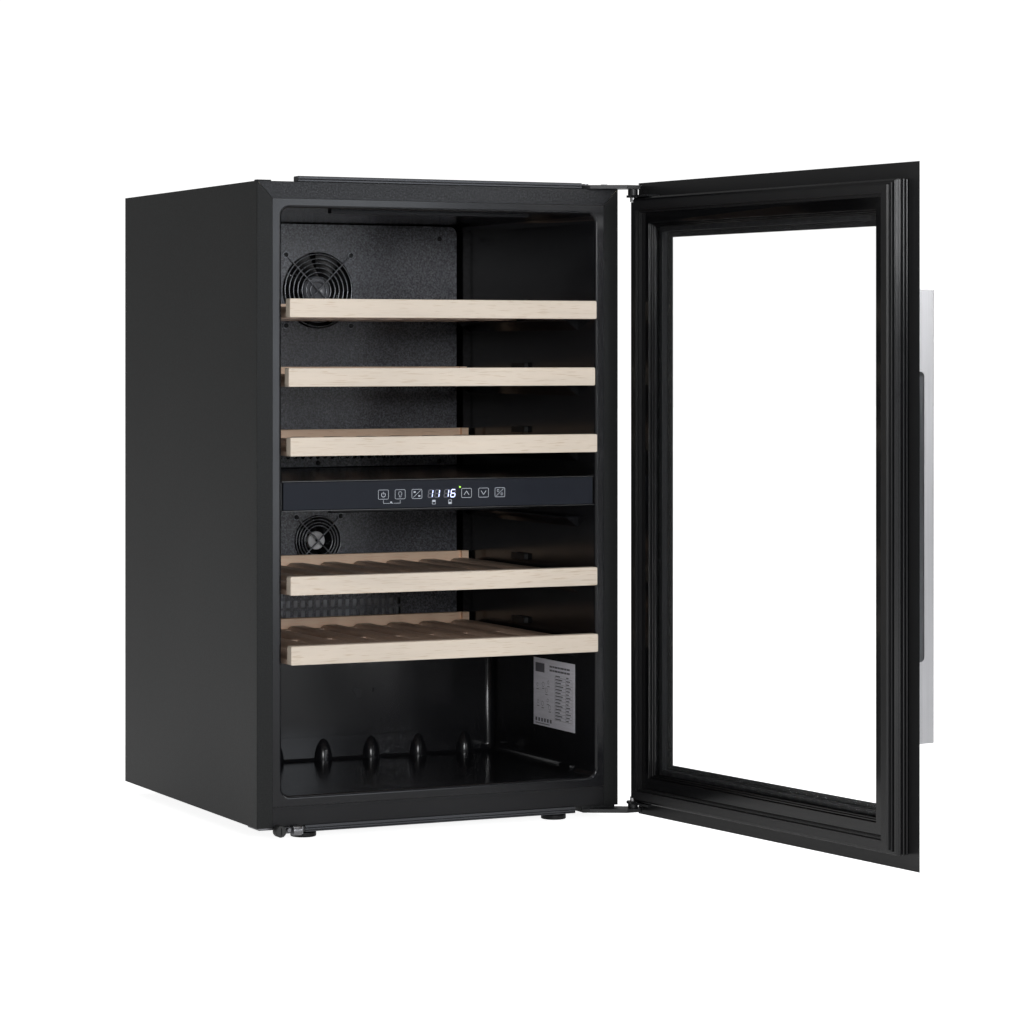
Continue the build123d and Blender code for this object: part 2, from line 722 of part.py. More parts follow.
# The catch at the lower left, opposite the hinge.
CATCH_Z = BODY_BOTTOM - 4.0
with BuildPart() as door_catch_bracket:
    block((-268, -210), (3, 48), (BODY_BOTTOM - 3.2, BODY_BOTTOM - 0.2))
    block((-234, -224.6), (-1, 6), (BODY_BOTTOM - 8.5, BODY_BOTTOM - 0.2))
    rod_y(-229.3, BODY_BOTTOM - 3.0, (-9, 4), 2.6)
    block((-212.5, -207.5), (-4, 6), (BODY_BOTTOM - 10.0, BODY_BOTTOM - 0.2))
    with Locations((-218.5, -7.2, BODY_BOTTOM - 4)):
        Cylinder(6.6, 12.2, rotation=(0, 90, 0))
    fillet(door_catch_bracket.edges().filter_by(Axis.Z).sort_by(Axis.Y)[-2:], 6)
finish(door_catch_bracket, "door_catch_bracket")

with BuildPart() as door_catch_adjuster:
    rod_y(-242.2, CATCH_Z, (-12, -0.4), 7.8)
    chamfer(door_catch_adjuster.edges().group_by(Axis.Y)[0], 1.2)
    rod_y(-242.2, CATCH_Z - 1, (-1, 12), 1.6)
    with Locations((-242.2, -12, CATCH_Z)):
        Box(1.6, 3.2, 10, mode=Mode.SUBTRACT)
finish(door_catch_adjuster, "door_catch_adjuster")

# ---- door -------------------------------------------------------------------------------------
GLASS_HALF = GLASS_WIDTH / 2
with BuildPart() as door_glass:
    block(
        (-GLASS_HALF, GLASS_HALF),
        (GLASS_FACE, GLASS_BACK),
        (GLASS_BOTTOM, GLASS_BOTTOM + GLASS_HEIGHT),
    )
    chamfer(door_glass.faces().sort_by(Axis.Y)[0].edges(), 0.6)
finish(door_glass, "door_glass", DOOR_OPEN)

FRAME_HALF = FRAME_WIDTH / 2
# The frame is a stack of rings, from the glass to the gasket: depth range, how far the outside is
# set in, and the width of the profile.
FRAME_RINGS = (
    (GLASS_BACK + GAP, -30.5, 1.4, 33.0),
    (-30.5, -28.5, 0.0, 33.0),
    (-28.5, -25.0, 0.9, 33.0),
    (-25.0, -23.0, 0.0, 33.0),
    (-23.0, -21.2, 0.9, 33.0),
    (-21.2, -19.0, 0.9, 42.0),
    (-19.0, -16.5, 0.0, 42.0),
    (-16.5, -15.0, 0.9, 38.5),
    (-15.0, -13.5, 0.0, 40.0),
    (-13.5, -12.0, 1.0, 36.0),
    (-12.0, FRAME_FRONT, 2.0, 37.5),
)
with BuildPart() as door_frame:
    for ring_back, ring_front, inset, profile in FRAME_RINGS:
        with BuildSketch(front_plane(ring_back)) as ring:
            ring_sketch(
                FRAME_HALF - inset,
                FRAME_HALF - profile,
                FRAME_BOTTOM + inset,
                FRAME_TOP - inset,
                profile - inset,
            )
        extrude(amount=ring_back - ring_front)
    # The groove that holds the gasket's tail.
    with BuildSketch(front_plane(FRAME_FRONT)) as groove:
        ring_sketch(FRAME_HALF - 13, FRAME_HALF - 17, FRAME_BOTTOM + 13, FRAME_TOP - 13, 4)
    extrude(amount=3, mode=Mode.SUBTRACT)
finish(door_frame, "door_frame", DOOR_OPEN)

with BuildPart() as door_gasket:
    with BuildSketch(front_plane(FRAME_FRONT + 0.1)) as tail:
        ring_sketch(FRAME_HALF - 13.4, FRAME_HALF - 16.6, FRAME_BOTTOM + 13.4, FRAME_TOP - 13.4, 3.2)
    extrude(amount=2.6)
    for ring_back, ring_front, inset, profile in (
        (FRAME_FRONT + 0.1, -6.5, 5.0, 22.0),
        (-6.5, -5.0, 7.0, 21.0),
        (-5.0, GASKET_FACE, 7.5, 18.0),
    ):
        with BuildSketch(front_plane(ring_back)) as ring:
            ring_sketch(
                FRAME_HALF - inset,
                FRAME_HALF - profile,
                FRAME_BOTTOM + inset,
                FRAME_TOP - inset,
                profile - inset,
            )
        extrude(amount=ring_back - ring_front)
finish(door_gasket, "door_gasket", DOOR_OPEN)

PANE_HALF = FRAME_HALF - 34.0
PANE_BOTTOM = FRAME_BOTTOM + 34.0
PANE_TOP = FRAME_TOP - 34.0
with BuildPart() as door_inner_pane:
    block(
        (-PANE_HALF, PANE_HALF),
        (PANE_FACE - PANE_THICKNESS, PANE_FACE),
        (PANE_BOTTOM, PANE_TOP),
    )
finish(door_inner_pane, "door_inner_pane", DOOR_OPEN)

with BuildPart() as glass_spacer:
    with BuildSketch(front_plane(GLASS_BACK)) as ring:
        ring_sketch(PANE_HALF - 8, PANE_HALF - 15, PANE_BOTTOM + 8, PANE_TOP - 8, 7)
    extrude(amount=GLASS_BACK - PANE_FACE + PANE_THICKNESS)
finish(glass_spacer, "glass_spacer", DOOR_OPEN)

# The handle is a folded channel near the free edge, with a finger opening in its outer side.
HANDLE_LEFT = -GLASS_HALF + HANDLE_INSET
HANDLE_RIGHT = HANDLE_LEFT + HANDLE_WIDTH
HANDLE_FRONT = GLASS_FACE - HANDLE_DEPTH
HANDLE_BOTTOM = HANDLE_MIDDLE - HANDLE_LENGTH / 2
HANDLE_TOP = HANDLE_MIDDLE + HANDLE_LENGTH / 2
with BuildPart() as door_handle:
    block((HANDLE_LEFT, HANDLE_RIGHT), (HANDLE_FRONT, GLASS_FACE), (HANDLE_BOTTOM, HANDLE_TOP))
    fillet(door_handle.edges().filter_by(Axis.Z).group_by(Axis.Y)[0], 2)
    block(
        (HANDLE_LEFT + HANDLE_SHEET, HANDLE_RIGHT - HANDLE_SHEET),
        (HANDLE_FRONT + HANDLE_SHEET, GLASS_FACE + 1),
        (HANDLE_BOTTOM + HANDLE_SHEET, HANDLE_TOP - HANDLE_SHEET),
        mode=Mode.SUBTRACT,
    )
    finger_plane = Plane(
        origin=(HANDLE_LEFT - 1, GLASS_FACE, HANDLE_MIDDLE),
        x_dir=(0, 1, 0),
        z_dir=(1, 0, 0),
    )
    with BuildSketch(finger_plane) as finger:
        RectangleRounded(2 * FINGER_DEPTH, FINGER_LENGTH, 6)
    extrude(amount=4, mode=Mode.SUBTRACT)
finish(door_handle, "door_handle", DOOR_OPEN)


def make_door_bracket(name, bottom, boss):
    """A bracket on the door frame that reaches out past its side and turns on a hinge pin."""
    with BuildPart() as bracket:
        with BuildSketch(Plane.XY.offset(bottom)) as outline:
            with Locations((265, -20.5)):
                Rectangle(44, 21)
            with Locations((PIVOT_X, PIVOT_Y)):
                Circle(9)
        extrude(amount=BRACKET_THICKNESS)
        rod_z(PIVOT_X, PIVOT_Y, boss, 7.0)
        rod_z(
            PIVOT_X,
            PIVOT_Y,
            (bottom - 20, bottom + 20),
            PIN_RADIUS + RUNNING_FIT,
            mode=Mode.SUBTRACT,
        )
    finish(bracket, name, DOOR_OPEN)


make_door_bracket(
    "door_bracket_top", TOP_BRACKET_Z, (TOP_BRACKET_Z, TOP_PLATE_Z - 0.5)
)
make_door_bracket(
    "door_bracket_bottom",
    LOW_BRACKET_Z,
    (LOW_PLATE_Z + PLATE_THICKNESS + 0.4, LOW_BRACKET_Z + BRACKET_THICKNESS),
)

# ---- shelves ----------------------------------------------------------------------------------
# Drops below the top of the boards.
SLAT_DROP = 10.0
SLAT_HEIGHT = 12.0
LOW_RAIL_DROP = 19.0
HIGH_RAIL_DROP = 15.0
SLAT_LIMIT = SHELF_HALF - 1.5
NOTCH_X = 217.0
NOTCH_WIDTH = 6.0


def make_shelf(number, shelf_top, shelf_front):
    """One shelf: a deep front board, and the frame of slats behind it with its rear board."""
    shelf_back = shelf_front + SHELF_DEPTH
    board_bottom = shelf_top - BOARD_HEIGHT
    with BuildPart() as front_board:
        block(
            (-SHELF_HALF, SHELF_HALF),
            (shelf_front, shelf_front + BOARD_THICKNESS),
            (board_bottom, shelf_top),
        )
        fillet(front_board.edges().filter_by(Axis.Y), 2)
        fillet(front_board.faces().sort_by(Axis.Y)[0].edges(), 0.8)
    finish(front_board, f"shelf_{number}_front_board")

    slat_front = shelf_front + BOARD_THICKNESS
    rear_front = shelf_back - BOARD_THICKNESS
    slat_top = shelf_top - SLAT_DROP
    with BuildPart() as frame:
        # Slats from front to back, with round shoulders.
        with BuildSketch(front_plane(slat_front)) as slats:
            for place in range(SLAT_COUNT):
                middle = (place - (SLAT_COUNT - 1) / 2) * SLAT_PITCH
                left = max(middle - SLAT_WIDTH / 2, -SLAT_LIMIT)
                right = min(middle + SLAT_WIDTH / 2, SLAT_LIMIT)
                with Locations(((left + right) / 2, slat_top - SLAT_HEIGHT / 2)):
                    Rectangle(right - left, SLAT_HEIGHT)
            fillet(slats.vertices().group_by(Axis.Y)[-1], 5)
        extrude(amount=slat_front - rear_front)
        # Their back ends are bevelled where they meet the rear board.
        with BuildSketch(Plane.YZ.offset(-SHELF_HALF)) as bevel:
            with BuildLine():
                Polyline(
                    (rear_front - 9, slat_top + 0.1),
                    (rear_front + 1, slat_top + 0.1),
                    (rear_front + 1, slat_top - 6),
                    close=True,
                )
            make_face()
        extrude(amount=SHELF_WIDTH, mode=Mode.SUBTRACT)
        # Rear board, notched in front of the stops on the side walls.
        block((-SHELF_HALF, SHELF_HALF), (rear_front, shelf_back), (board_bottom, shelf_top))
        for side in (-1, 1):
            block(
                (side * NOTCH_X - NOTCH_WIDTH / 2, side * NOTCH_X + NOTCH_WIDTH / 2),
                (rear_front, rear_front + NOTCH_WIDTH),
                (slat_top, shelf_top),
                mode=Mode.SUBTRACT,
            )
        # Cross rails: low ones under the slats, high ones let in between them.
        for rail_front, depth, drop in (
            (slat_front, 30.0, LOW_RAIL_DROP),
            (shelf_front + 244, 14.0, HIGH_RAIL_DROP),
            (shelf_front + 258, 76.0, LOW_RAIL_DROP),
            (rear_front - 14, 14.0, HIGH_RAIL_DROP),
        ):
            block(
                (-SLAT_LIMIT, SLAT_LIMIT),
                (rail_front, rail_front + depth),
                (board_bottom, shelf_top - drop),
            )
    finish(frame, f"shelf_{number}_frame")


for number, (shelf_top, shelf_front) in enumerate(zip(SHELF_TOPS, SHELF_FRONTS), start=1):
    make_shelf(number, shelf_top, shelf_front)

# ---- feet -------------------------------------------------------------------------------------
for foot_name, (foot_x, foot_y) in FOOT_PLACES.items():
    with BuildPart() as foot:
        rod_z(foot_x, foot_y, (0, 7.5), FOOT_RADIUS)
        fillet(foot.edges().filter_by(GeomType.CIRCLE).group_by(Axis.Z)[-1], 2.5)
        fillet(foot.edges().filter_by(GeomType.CIRCLE).group_by(Axis.Z)[0], 1.2)
        rod_z(foot_x, foot_y, (7, 42), STEM_RADIUS)
    finish(foot, foot_name)

# ---- machine compartment ----------------------------------------------------------------------
FLOOR = BODY_BOTTOM + PAN_SHEET
POT_X = -70.0
POT_Y = 440.0
with BuildPart() as compressor:
    rod_z(POT_X, POT_Y, (FLOOR + 15, FLOOR + 125), 60)
    fillet(compressor.edges().filter_by(GeomType.CIRCLE), 22)
    block((POT_X - 95, POT_X + 95), (POT_Y - 55, POT_Y + 55), (FLOOR + 12, FLOOR + 16))
    for mount_x in (POT_X - 82, POT_X + 82):
        for mount_y in (POT_Y - 42, POT_Y + 42):
            rod_z(mount_x, mount_y, (FLOOR + 0.1, FLOOR + 13), 9)
finish(compressor, "compressor")

with BuildPart() as drip_tray:
    block((POT_X - 60, POT_X + 60), (POT_Y - 45, POT_Y + 45), (FLOOR + 125.2, FLOOR + 143))
    block(
        (POT_X - 58, POT_X + 58),
        (POT_Y - 43, POT_Y + 43),
        (FLOOR + 127.2, FLOOR + 144),
        mode=Mode.SUBTRACT,
    )
finish(drip_tray, "drip_tray")

with BuildPart() as condenser:
    coil_left = 55.0
    coil_y = 490.0
    coil_right = 215.0
    coil_low = FLOOR + 14.0
    turns = 8
    route = []
    for row in range(turns):
        height = coil_low + 15.0 * row
        ends = (coil_left, coil_right) if row % 2 == 0 else (coil_right, coil_left)
        route += [(ends[0], coil_y, height), (ends[1], coil_y, height)]
    with BuildLine() as path:
        FilletPolyline(*route, radius=7)
    with BuildSketch(Plane(origin=path.line @ 0, z_dir=path.line % 0)) as tube:
        Circle(2.4)
    sweep()
    for foot_x in (coil_left + 20, coil_right - 20):
        block((foot_x - 6, foot_x + 6), (coil_y + 1.5, coil_y + 3.5), (FLOOR + 0.1, coil_low + 15.0 * turns))
finish(condenser, "condenser")

INLET_X = 195.0
INLET_Z = 132.0
with BuildPart() as compartment_cover:
    block(
        (-CUTOUT_HALF + 0.5, CUTOUT_HALF - 0.5),
        (BODY_DEPTH - SHEET, BODY_DEPTH),
        (CUTOUT_BOTTOM + 0.5, CUTOUT_TOP - 0.5),
    )
    with BuildSketch(front_plane(BODY_DEPTH - 2)) as vents:
        with Locations((-35, 92)):
            with GridLocations(22, 16, 15, 6):
                SlotOverall(17, 5)
    extrude(amount=-4, mode=Mode.SUBTRACT)
    block(
        (INLET_X - 14.2, INLET_X + 14.2),
        (BODY_DEPTH - 3, BODY_DEPTH + 1),
        (INLET_Z - 10.2, INLET_Z + 10.2),
        mode=Mode.SUBTRACT,
    )
finish(compartment_cover, "compartment_cover")

with BuildPart() as mains_inlet:
    block((INLET_X - 14, INLET_X + 14), (BODY_DEPTH - 20, BODY_DEPTH + 0.2), (INLET_Z - 10, INLET_Z + 10))
    block(
        (INLET_X - 22, INLET_X + 22),
        (BODY_DEPTH + 0.2, BODY_DEPTH + 2.2),
        (INLET_Z - 12.5, INLET_Z + 12.5),
    )
    block(
        (INLET_X - 12, INLET_X + 12),
        (BODY_DEPTH - 15, BODY_DEPTH + 3),
        (INLET_Z - 8, INLET_Z + 8),
        mode=Mode.SUBTRACT,
    )
    for blade_x, blade_z in ((-7, -1.5), (0, 2.0), (7, -1.5)):
        block(
            (INLET_X + blade_x - 1, INLET_X + blade_x + 1),
            (BODY_DEPTH - 16, BODY_DEPTH - 2),
            (INLET_Z + blade_z - 2.5, INLET_Z + blade_z + 2.5),
        )
finish(mains_inlet, "mains_inlet")
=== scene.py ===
"""Looks of the two-zone wine cooler: materials, panel figures, label, print, fans, camera and light.

The CAD pieces come packed from the frame and get materials and soft edges here. The pieces that are made
here are what a photograph shows on top of them: the figures on the touch panel, the print on the rating
label and on the door's glass, the fans' curved blades, and the screws' cross recesses.
"""

import json
import math

import bmesh
import bpy
from mathutils import Matrix, Vector


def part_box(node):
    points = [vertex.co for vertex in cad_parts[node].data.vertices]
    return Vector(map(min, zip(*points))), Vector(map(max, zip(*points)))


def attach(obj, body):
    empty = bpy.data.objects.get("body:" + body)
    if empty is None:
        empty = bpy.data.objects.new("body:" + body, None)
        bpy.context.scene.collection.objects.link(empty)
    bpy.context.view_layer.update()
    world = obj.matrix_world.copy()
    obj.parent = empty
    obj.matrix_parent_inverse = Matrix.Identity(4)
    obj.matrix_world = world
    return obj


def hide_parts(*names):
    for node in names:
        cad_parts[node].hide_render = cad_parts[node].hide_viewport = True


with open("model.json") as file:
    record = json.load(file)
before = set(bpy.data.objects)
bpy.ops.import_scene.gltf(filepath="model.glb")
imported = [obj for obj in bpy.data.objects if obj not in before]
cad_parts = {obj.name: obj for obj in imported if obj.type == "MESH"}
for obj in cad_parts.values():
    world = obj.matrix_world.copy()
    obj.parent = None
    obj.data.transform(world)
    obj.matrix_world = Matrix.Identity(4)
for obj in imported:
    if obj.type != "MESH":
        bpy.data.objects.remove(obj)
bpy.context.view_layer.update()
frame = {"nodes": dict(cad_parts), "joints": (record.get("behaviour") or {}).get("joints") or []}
MM = 0.001
SHELVES = range(1, 6)


# ---- camera -----------------------------------------------------------------------------------
# The camera's place, angle and lens were solved from the cabinet's edges, as the photograph shows them.
camera_data = bpy.data.cameras.new("camera")
camera_data.sensor_width = 36.0
camera_data.lens = 109.58
camera_data.shift_x = 0.109
camera_data.shift_y = -0.153
camera_data.clip_end = 60.0
camera = bpy.data.objects.new("camera", camera_data)
camera.location = (-1.8290, -3.8373, 0.6479)
camera.rotation_euler = (math.radians(90), 0, math.radians(-24.715))
bpy.context.scene.collection.objects.link(camera)
bpy.context.scene.camera = camera
bpy.context.scene.view_settings.view_transform = "Standard"


# ---- material helpers -------------------------------------------------------------------------
def new_material(name, color, roughness, metallic=0.0, coat=0.0, coat_roughness=0.1, specular=0.5):
    """A material with one principled shader, and its tree and shader."""
    material = bpy.data.materials.new(name)
    material.use_nodes = True
    tree = material.node_tree
    shader = tree.nodes["Principled BSDF"]
    shader.inputs["Base Color"].default_value = (*color, 1.0)
    shader.inputs["Roughness"].default_value = roughness
    shader.inputs["Metallic"].default_value = metallic
    shader.inputs["Coat Weight"].default_value = coat
    shader.inputs["Coat Roughness"].default_value = coat_roughness
    shader.inputs["Specular IOR Level"].default_value = specular
    return material, tree, shader


def stretched(tree, scale, shift=(0.0, 0.0, 0.0)):
    """Object coordinates multiplied by a scale along each axis, then shifted."""
    coordinates = tree.nodes.new("ShaderNodeTexCoord")
    mapping = tree.nodes.new("ShaderNodeMapping")
    mapping.inputs["Scale"].default_value = scale
    mapping.inputs["Location"].default_value = shift
    tree.links.new(coordinates.outputs["Object"], mapping.inputs["Vector"])
    return mapping.outputs["Vector"]


def noise(tree, vector, scale, detail=2.0, roughness=0.5, distortion=0.0):
    """A noise texture's factor."""
    node = tree.nodes.new("ShaderNodeTexNoise")
    node.inputs["Scale"].default_value = scale
    node.inputs["Detail"].default_value = detail
    node.inputs["Roughness"].default_value = roughness
    node.inputs["Distortion"].default_value = distortion
    tree.links.new(vector, node.inputs["Vector"])
    return node.outputs["Fac"]


def ramp(tree, factor, *stops):
    """A colour ramp; each stop is (place, colour)."""
    node = tree.nodes.new("ShaderNodeValToRGB")
    elements = node.color_ramp.elements
    while len(elements) < len(stops):
        elements.new(0.5)
    for element, (place, color) in zip(elements, stops):
        element.position = place
        element.color = (*color, 1.0)
    tree.links.new(factor, node.inputs["Fac"])
    return node.outputs["Color"]


def spread(tree, factor, low, high, from_low=0.35, from_high=0.65):
    """The factor mapped onto another range."""
    node = tree.nodes.new("ShaderNodeMapRange")
    node.inputs["From Min"].default_value = from_low
    node.inputs["From Max"].default_value = from_high
    node.inputs["To Min"].default_value = low
    node.inputs["To Max"].default_value = high
    tree.links.new(factor, node.inputs["Value"])
    return node.outputs["Result"]


def mixed(tree, factor, first, second, blend="MIX"):
    """Two colours mixed by a factor, which is a number or a socket."""
    node = tree.nodes.new("ShaderNodeMix")
    node.data_type = "RGBA"
    node.blend_type = blend
    if isinstance(factor, float):
        node.inputs["Factor"].default_value = factor
    else:
        tree.links.new(factor, node.inputs["Factor"])
    tree.links.new(first, node.inputs["A"])
    tree.links.new(second, node.inputs["B"])
    return node.outputs["Result"]


def bump(tree, shader, height, strength, distance):
    """Relief from a height, on the shader's normal."""
    node = tree.nodes.new("ShaderNodeBump")
    node.inputs["Strength"].default_value = strength
    node.inputs["Distance"].default_value = distance
    tree.links.new(height, node.inputs["Height"])
    tree.links.new(node.outputs["Normal"], shader.inputs["Normal"])


def tinted(color, factor):
    """A colour made darker or lighter by a factor."""
    return tuple(channel * factor for channel in color)


# ---- kinds of surface -------------------------------------------------------------------------
BLACK = (0.0, 0.0, 0.0)
WHITE = (1.0, 1.0, 1.0)
EVEN = (1, 1, 1)


def speckled_paint(name, dark, light, roughness, grain, strength, patch=0.0, specular=0.5, painted_glint=0.0):
    """Powder-coated or textured sheet: a fine speckle, faint patches, and a few bright flecks added to the
    colour as painted highlight.
    """
    material, tree, shader = new_material(name, dark, roughness, specular=specular)
    plain = stretched(tree, EVEN)
    fine = noise(tree, plain, grain, detail=3.0, roughness=0.6)
    broad = noise(tree, plain, 3.0, detail=1.0)
    flecks = noise(tree, plain, grain * 1.7, detail=0.0)
    speckle = ramp(tree, fine, (0.40, dark), (0.64, light))
    patches = ramp(tree, broad, (0.2, tinted(WHITE, 1 - patch)), (0.8, WHITE))
    # Painted highlight: bright flecks added to the colour in place of the paint's sparkle.
    painted_glints = ramp(tree, flecks, (0.66, BLACK), (0.74, tinted(WHITE, painted_glint)))
    paint = mixed(tree, 1.0, speckle, patches, "MULTIPLY")
    tree.links.new(mixed(tree, 1.0, paint, painted_glints, "ADD"), shader.inputs["Base Color"])
    gloss = spread(tree, broad, roughness - 0.015, roughness + 0.015)
    tree.links.new(gloss, shader.inputs["Roughness"])
    bump(tree, shader, fine, strength, 0.4 * MM)
    return material


def moulded(name, color, roughness, grain=900.0, strength=0.12, coat=0.0, specular=0.5):
    """Moulded plastic or rubber: faint mottling in colour and gloss, and a fine orange peel."""
    material, tree, shader = new_material(name, color, roughness, coat=coat, specular=specular)
    plain = stretched(tree, EVEN)
    broad = noise(tree, plain, 14.0, detail=3.0, roughness=0.6)
    lighter = tuple(min(1.0, channel) for channel in tinted(color, 1.12))
    tree.links.new(ramp(tree, broad, (0.3, color), (0.75, lighter)), shader.inputs["Base Color"])
    gloss = spread(tree, broad, roughness - 0.012, roughness + 0.018)
    tree.links.new(gloss, shader.inputs["Roughness"])
    bump(tree, shader, noise(tree, plain, grain), strength, 0.2 * MM)
    return material


def brushed(name, color, roughness, scale, metallic=1.0, strength=0.08):
    """Brushed metal: fine lines along the axis that scale stretches least."""
    material, tree, shader = new_material(name, color, roughness, metallic)
    lines = noise(tree, stretched(tree, scale), 1.0, detail=4.0, roughness=0.7)
    shades = ramp(tree, lines, (0.3, tinted(color, 0.82)), (0.7, color))
    tree.links.new(shades, shader.inputs["Base Color"])
    gloss = spread(tree, lines, roughness - 0.06, roughness + 0.08)
    tree.links.new(gloss, shader.inputs["Roughness"])
    bump(tree, shader, lines, strength, 0.05 * MM)
    return material


BOARD_TONE = (0.63, 0.545, 0.45)
# Painted light and shade: the rear board's tone below is the beech painted lighter, and the slat tone under
# it is the beech painted darker.
LIT_REAR_TONE = (1.0, 0.74, 0.54)
SHADED_SLAT_TONE = (0.48, 0.35, 0.27)
PORE_TONE = (0.82, 0.76, 0.68)


def along_axis(axis, slow, fast):
    """The scale of a texture that changes slowly along X or Y and fast across it."""
    return (slow, fast, fast) if axis == "X" else (fast, slow, fast)


def wood_figure(tree, axis, tone, shift):
    """The colour, growth rings and pores of wood whose grain runs along an axis."""
    place = (shift, shift * 1.7, shift * 0.6)
    grain = stretched(tree, along_axis(axis, 1.6, 30.0), place)
    rings = noise(tree, grain, 2.2, detail=6.0, roughness=0.62, distortion=0.7)
    bands = ((0.22, 0.88), (0.42, 1.0), (0.60, 1.06), (0.82, 0.92))
    shades = ramp(tree, rings, *((where, tinted(tone, factor)) for where, factor in bands))
    pores = noise(tree, stretched(tree, along_axis(axis, 38, 900)), 1.0, detail=1.0)
    dashes = ramp(tree, pores, (0.30, PORE_TONE), (0.40, WHITE))
    return mixed(tree, 1.0, shades, dashes, "MULTIPLY"), rings, pores


def beech(name, shift, tone, rear_edge=None):
    """Clear-finished beech with its grain along X; in front of rear_edge its slat part runs along Y in a
    darker tone, as painted shade.
    """
    material, tree, shader = new_material(name, tone, 0.42, coat=0.12, coat_roughness=0.3)
    color, rings, pores = wood_figure(tree, "X", tone, shift)
    if rear_edge is not None:
        # Painted shade: the slat part is coloured darker than the same beech.
        shaded_slat_color, rings, pores = wood_figure(tree, "Y", SHADED_SLAT_TONE, shift)
        coordinates = tree.nodes.new("ShaderNodeTexCoord")
        axes = tree.nodes.new("ShaderNodeSeparateXYZ")
        behind = tree.nodes.new("ShaderNodeMath")
        behind.operation = "GREATER_THAN"
        behind.inputs[1].default_value = rear_edge
        tree.links.new(coordinates.outputs["Object"], axes.inputs["Vector"])
        tree.links.new(axes.outputs["Y"], behind.inputs[0])
        color = mixed(tree, behind.outputs["Value"], shaded_slat_color, color)
    tree.links.new(color, shader.inputs["Base Color"])
    tree.links.new(spread(tree, rings, 0.36, 0.5), shader.inputs["Roughness"])
    bump(tree, shader, pores, 0.25, 0.1 * MM)
    return material


def clear_glass(name, tint, alpha):
    """A clear pane, seen through almost wholly, with faint smears in its gloss."""
    material, tree, shader = new_material(name, tint, 0.02)
    shader.inputs["Alpha"].default_value = alpha
    shader.inputs["Transmission Weight"].default_value = 0.6
    shader.inputs["IOR"].default_value = 1.3
    smears = noise(tree, stretched(tree, (1, 1, 0.4)), 9.0, detail=5.0, roughness=0.65)
    tree.links.new(spread(tree, smears, 0.01, 0.05), shader.inputs["Roughness"])
    return material


def glowing(name, color, strength):
    """A figure that glows, a little uneven in its glow: lit digits and a lamp behind the panel, and print
    on it given a painted glow.
    """
    material, tree, shader = new_material(name, color, 0.4)
    flicker = noise(tree, stretched(tree, EVEN), 260.0, detail=1.0)
    glow = ramp(tree, flicker, (0.3, tinted(color, 0.8)), (0.7, color))
    tree.links.new(glow, shader.inputs["Emission Color"])
    tree.links.new(glow, shader.inputs["Base Color"])
    shader.inputs["Emission Strength"].default_value = strength
    return material


def dotted_metal(name, metal, dot):
    """Dark metal with an even grid of small dots, as on the spacer between two panes."""
    material, tree, shader = new_material(name, (0.012, 0.012, 0.013), 0.4, metallic=0.2)
    grid = tree.nodes.new("ShaderNodeTexVoronoi")
    grid.inputs["Scale"].default_value = 420.0
    grid.inputs["Randomness"].default_value = 0.0
    tree.links.new(stretched(tree, EVEN), grid.inputs["Vector"])
    dots = ramp(tree, grid.outputs["Distance"], (0.16, dot), (0.30, metal))
    tree.links.new(dots, shader.inputs["Base Color"])
    return material


# ---- materials --------------------------------------------------------------------------------
cabinet_paint = speckled_paint(
    "cabinet_paint", (0.013, 0.0135, 0.0135), (0.022, 0.0228, 0.0228), 0.38,
    grain=600, strength=0.25, patch=0.10, specular=0.12,
)
# Flecks of painted highlight are added to this paint's colour.
front_paint = speckled_paint(
    "front_paint", (0.004, 0.0042, 0.005), (0.026, 0.027, 0.031), 0.32,
    grain=380, strength=0.6, patch=0.08, specular=0.24, painted_glint=0.03,
)
# Flecks of painted highlight are added to this paint's colour too.
cover_paint = speckled_paint(
    "cover_paint", (0.018, 0.019, 0.024), (0.145, 0.150, 0.176), 0.32,
    grain=340, strength=0.8, patch=0.08, specular=0.9, painted_glint=0.09,
)
hinge_coat = speckled_paint(
    "hinge_coat", (0.008, 0.0085, 0.009), (0.016, 0.0165, 0.018), 0.38, grain=900, strength=0.25
)

# Moulded pieces: name, colour, roughness, grain of the orange peel and its strength.
liner_plastic = moulded("liner_plastic", (0.007, 0.0072, 0.0085), 0.17, 700, 0.03, specular=0.3)
profile_plastic = moulded("profile_plastic", (0.003, 0.003, 0.0034), 0.12, 900, 0.02)
gasket_rubber = moulded("gasket_rubber", (0.006, 0.006, 0.0065), 0.34, 1300, 0.18)
satin_black = moulded("satin_black", (0.006, 0.006, 0.0065), 0.36, 1000, 0.12, specular=0.3)
fascia_black = moulded("fascia_black", (0.010, 0.010, 0.011), 0.34, 800, 0.15, specular=0.2)
soft_black = moulded("soft_black", (0.012, 0.012, 0.012), 0.55, 1300, 0.20)
panel_black = moulded("panel_black", (0.016, 0.018, 0.024), 0.25, 400, 0.02, specular=0.05)
divider_black = moulded("divider_black", (0.007, 0.007, 0.008), 0.22, 600, 0.05)
hub_dark = moulded("hub_dark", (0.16, 0.165, 0.18), 0.30, 500, 0.08)
hub_light = moulded("hub_light", (0.97, 0.98, 1.0), 0.40, 400, 0.08)
circuit_green = moulded("circuit_green", (0.02, 0.11, 0.05), 0.45, 700, 0.2)
diffuser = moulded("diffuser", (0.006, 0.006, 0.007), 0.28, 500, 0.1, specular=0.1)
foam_cream = moulded("foam_cream", (0.70, 0.64, 0.46), 0.85, 300, 0.6)
compressor_enamel = moulded("compressor_enamel", (0.014, 0.014, 0.015), 0.22, 260, 0.12, coat=0.4)
screen_print = moulded("screen_print", (0.016, 0.016, 0.0165), 0.25, 500, 0.04, specular=0.3)
digit_dim = moulded("digit_dim", (0.09, 0.09, 0.11), 0.5)
label_ink = moulded("label_ink", (0.13, 0.13, 0.15), 0.5)

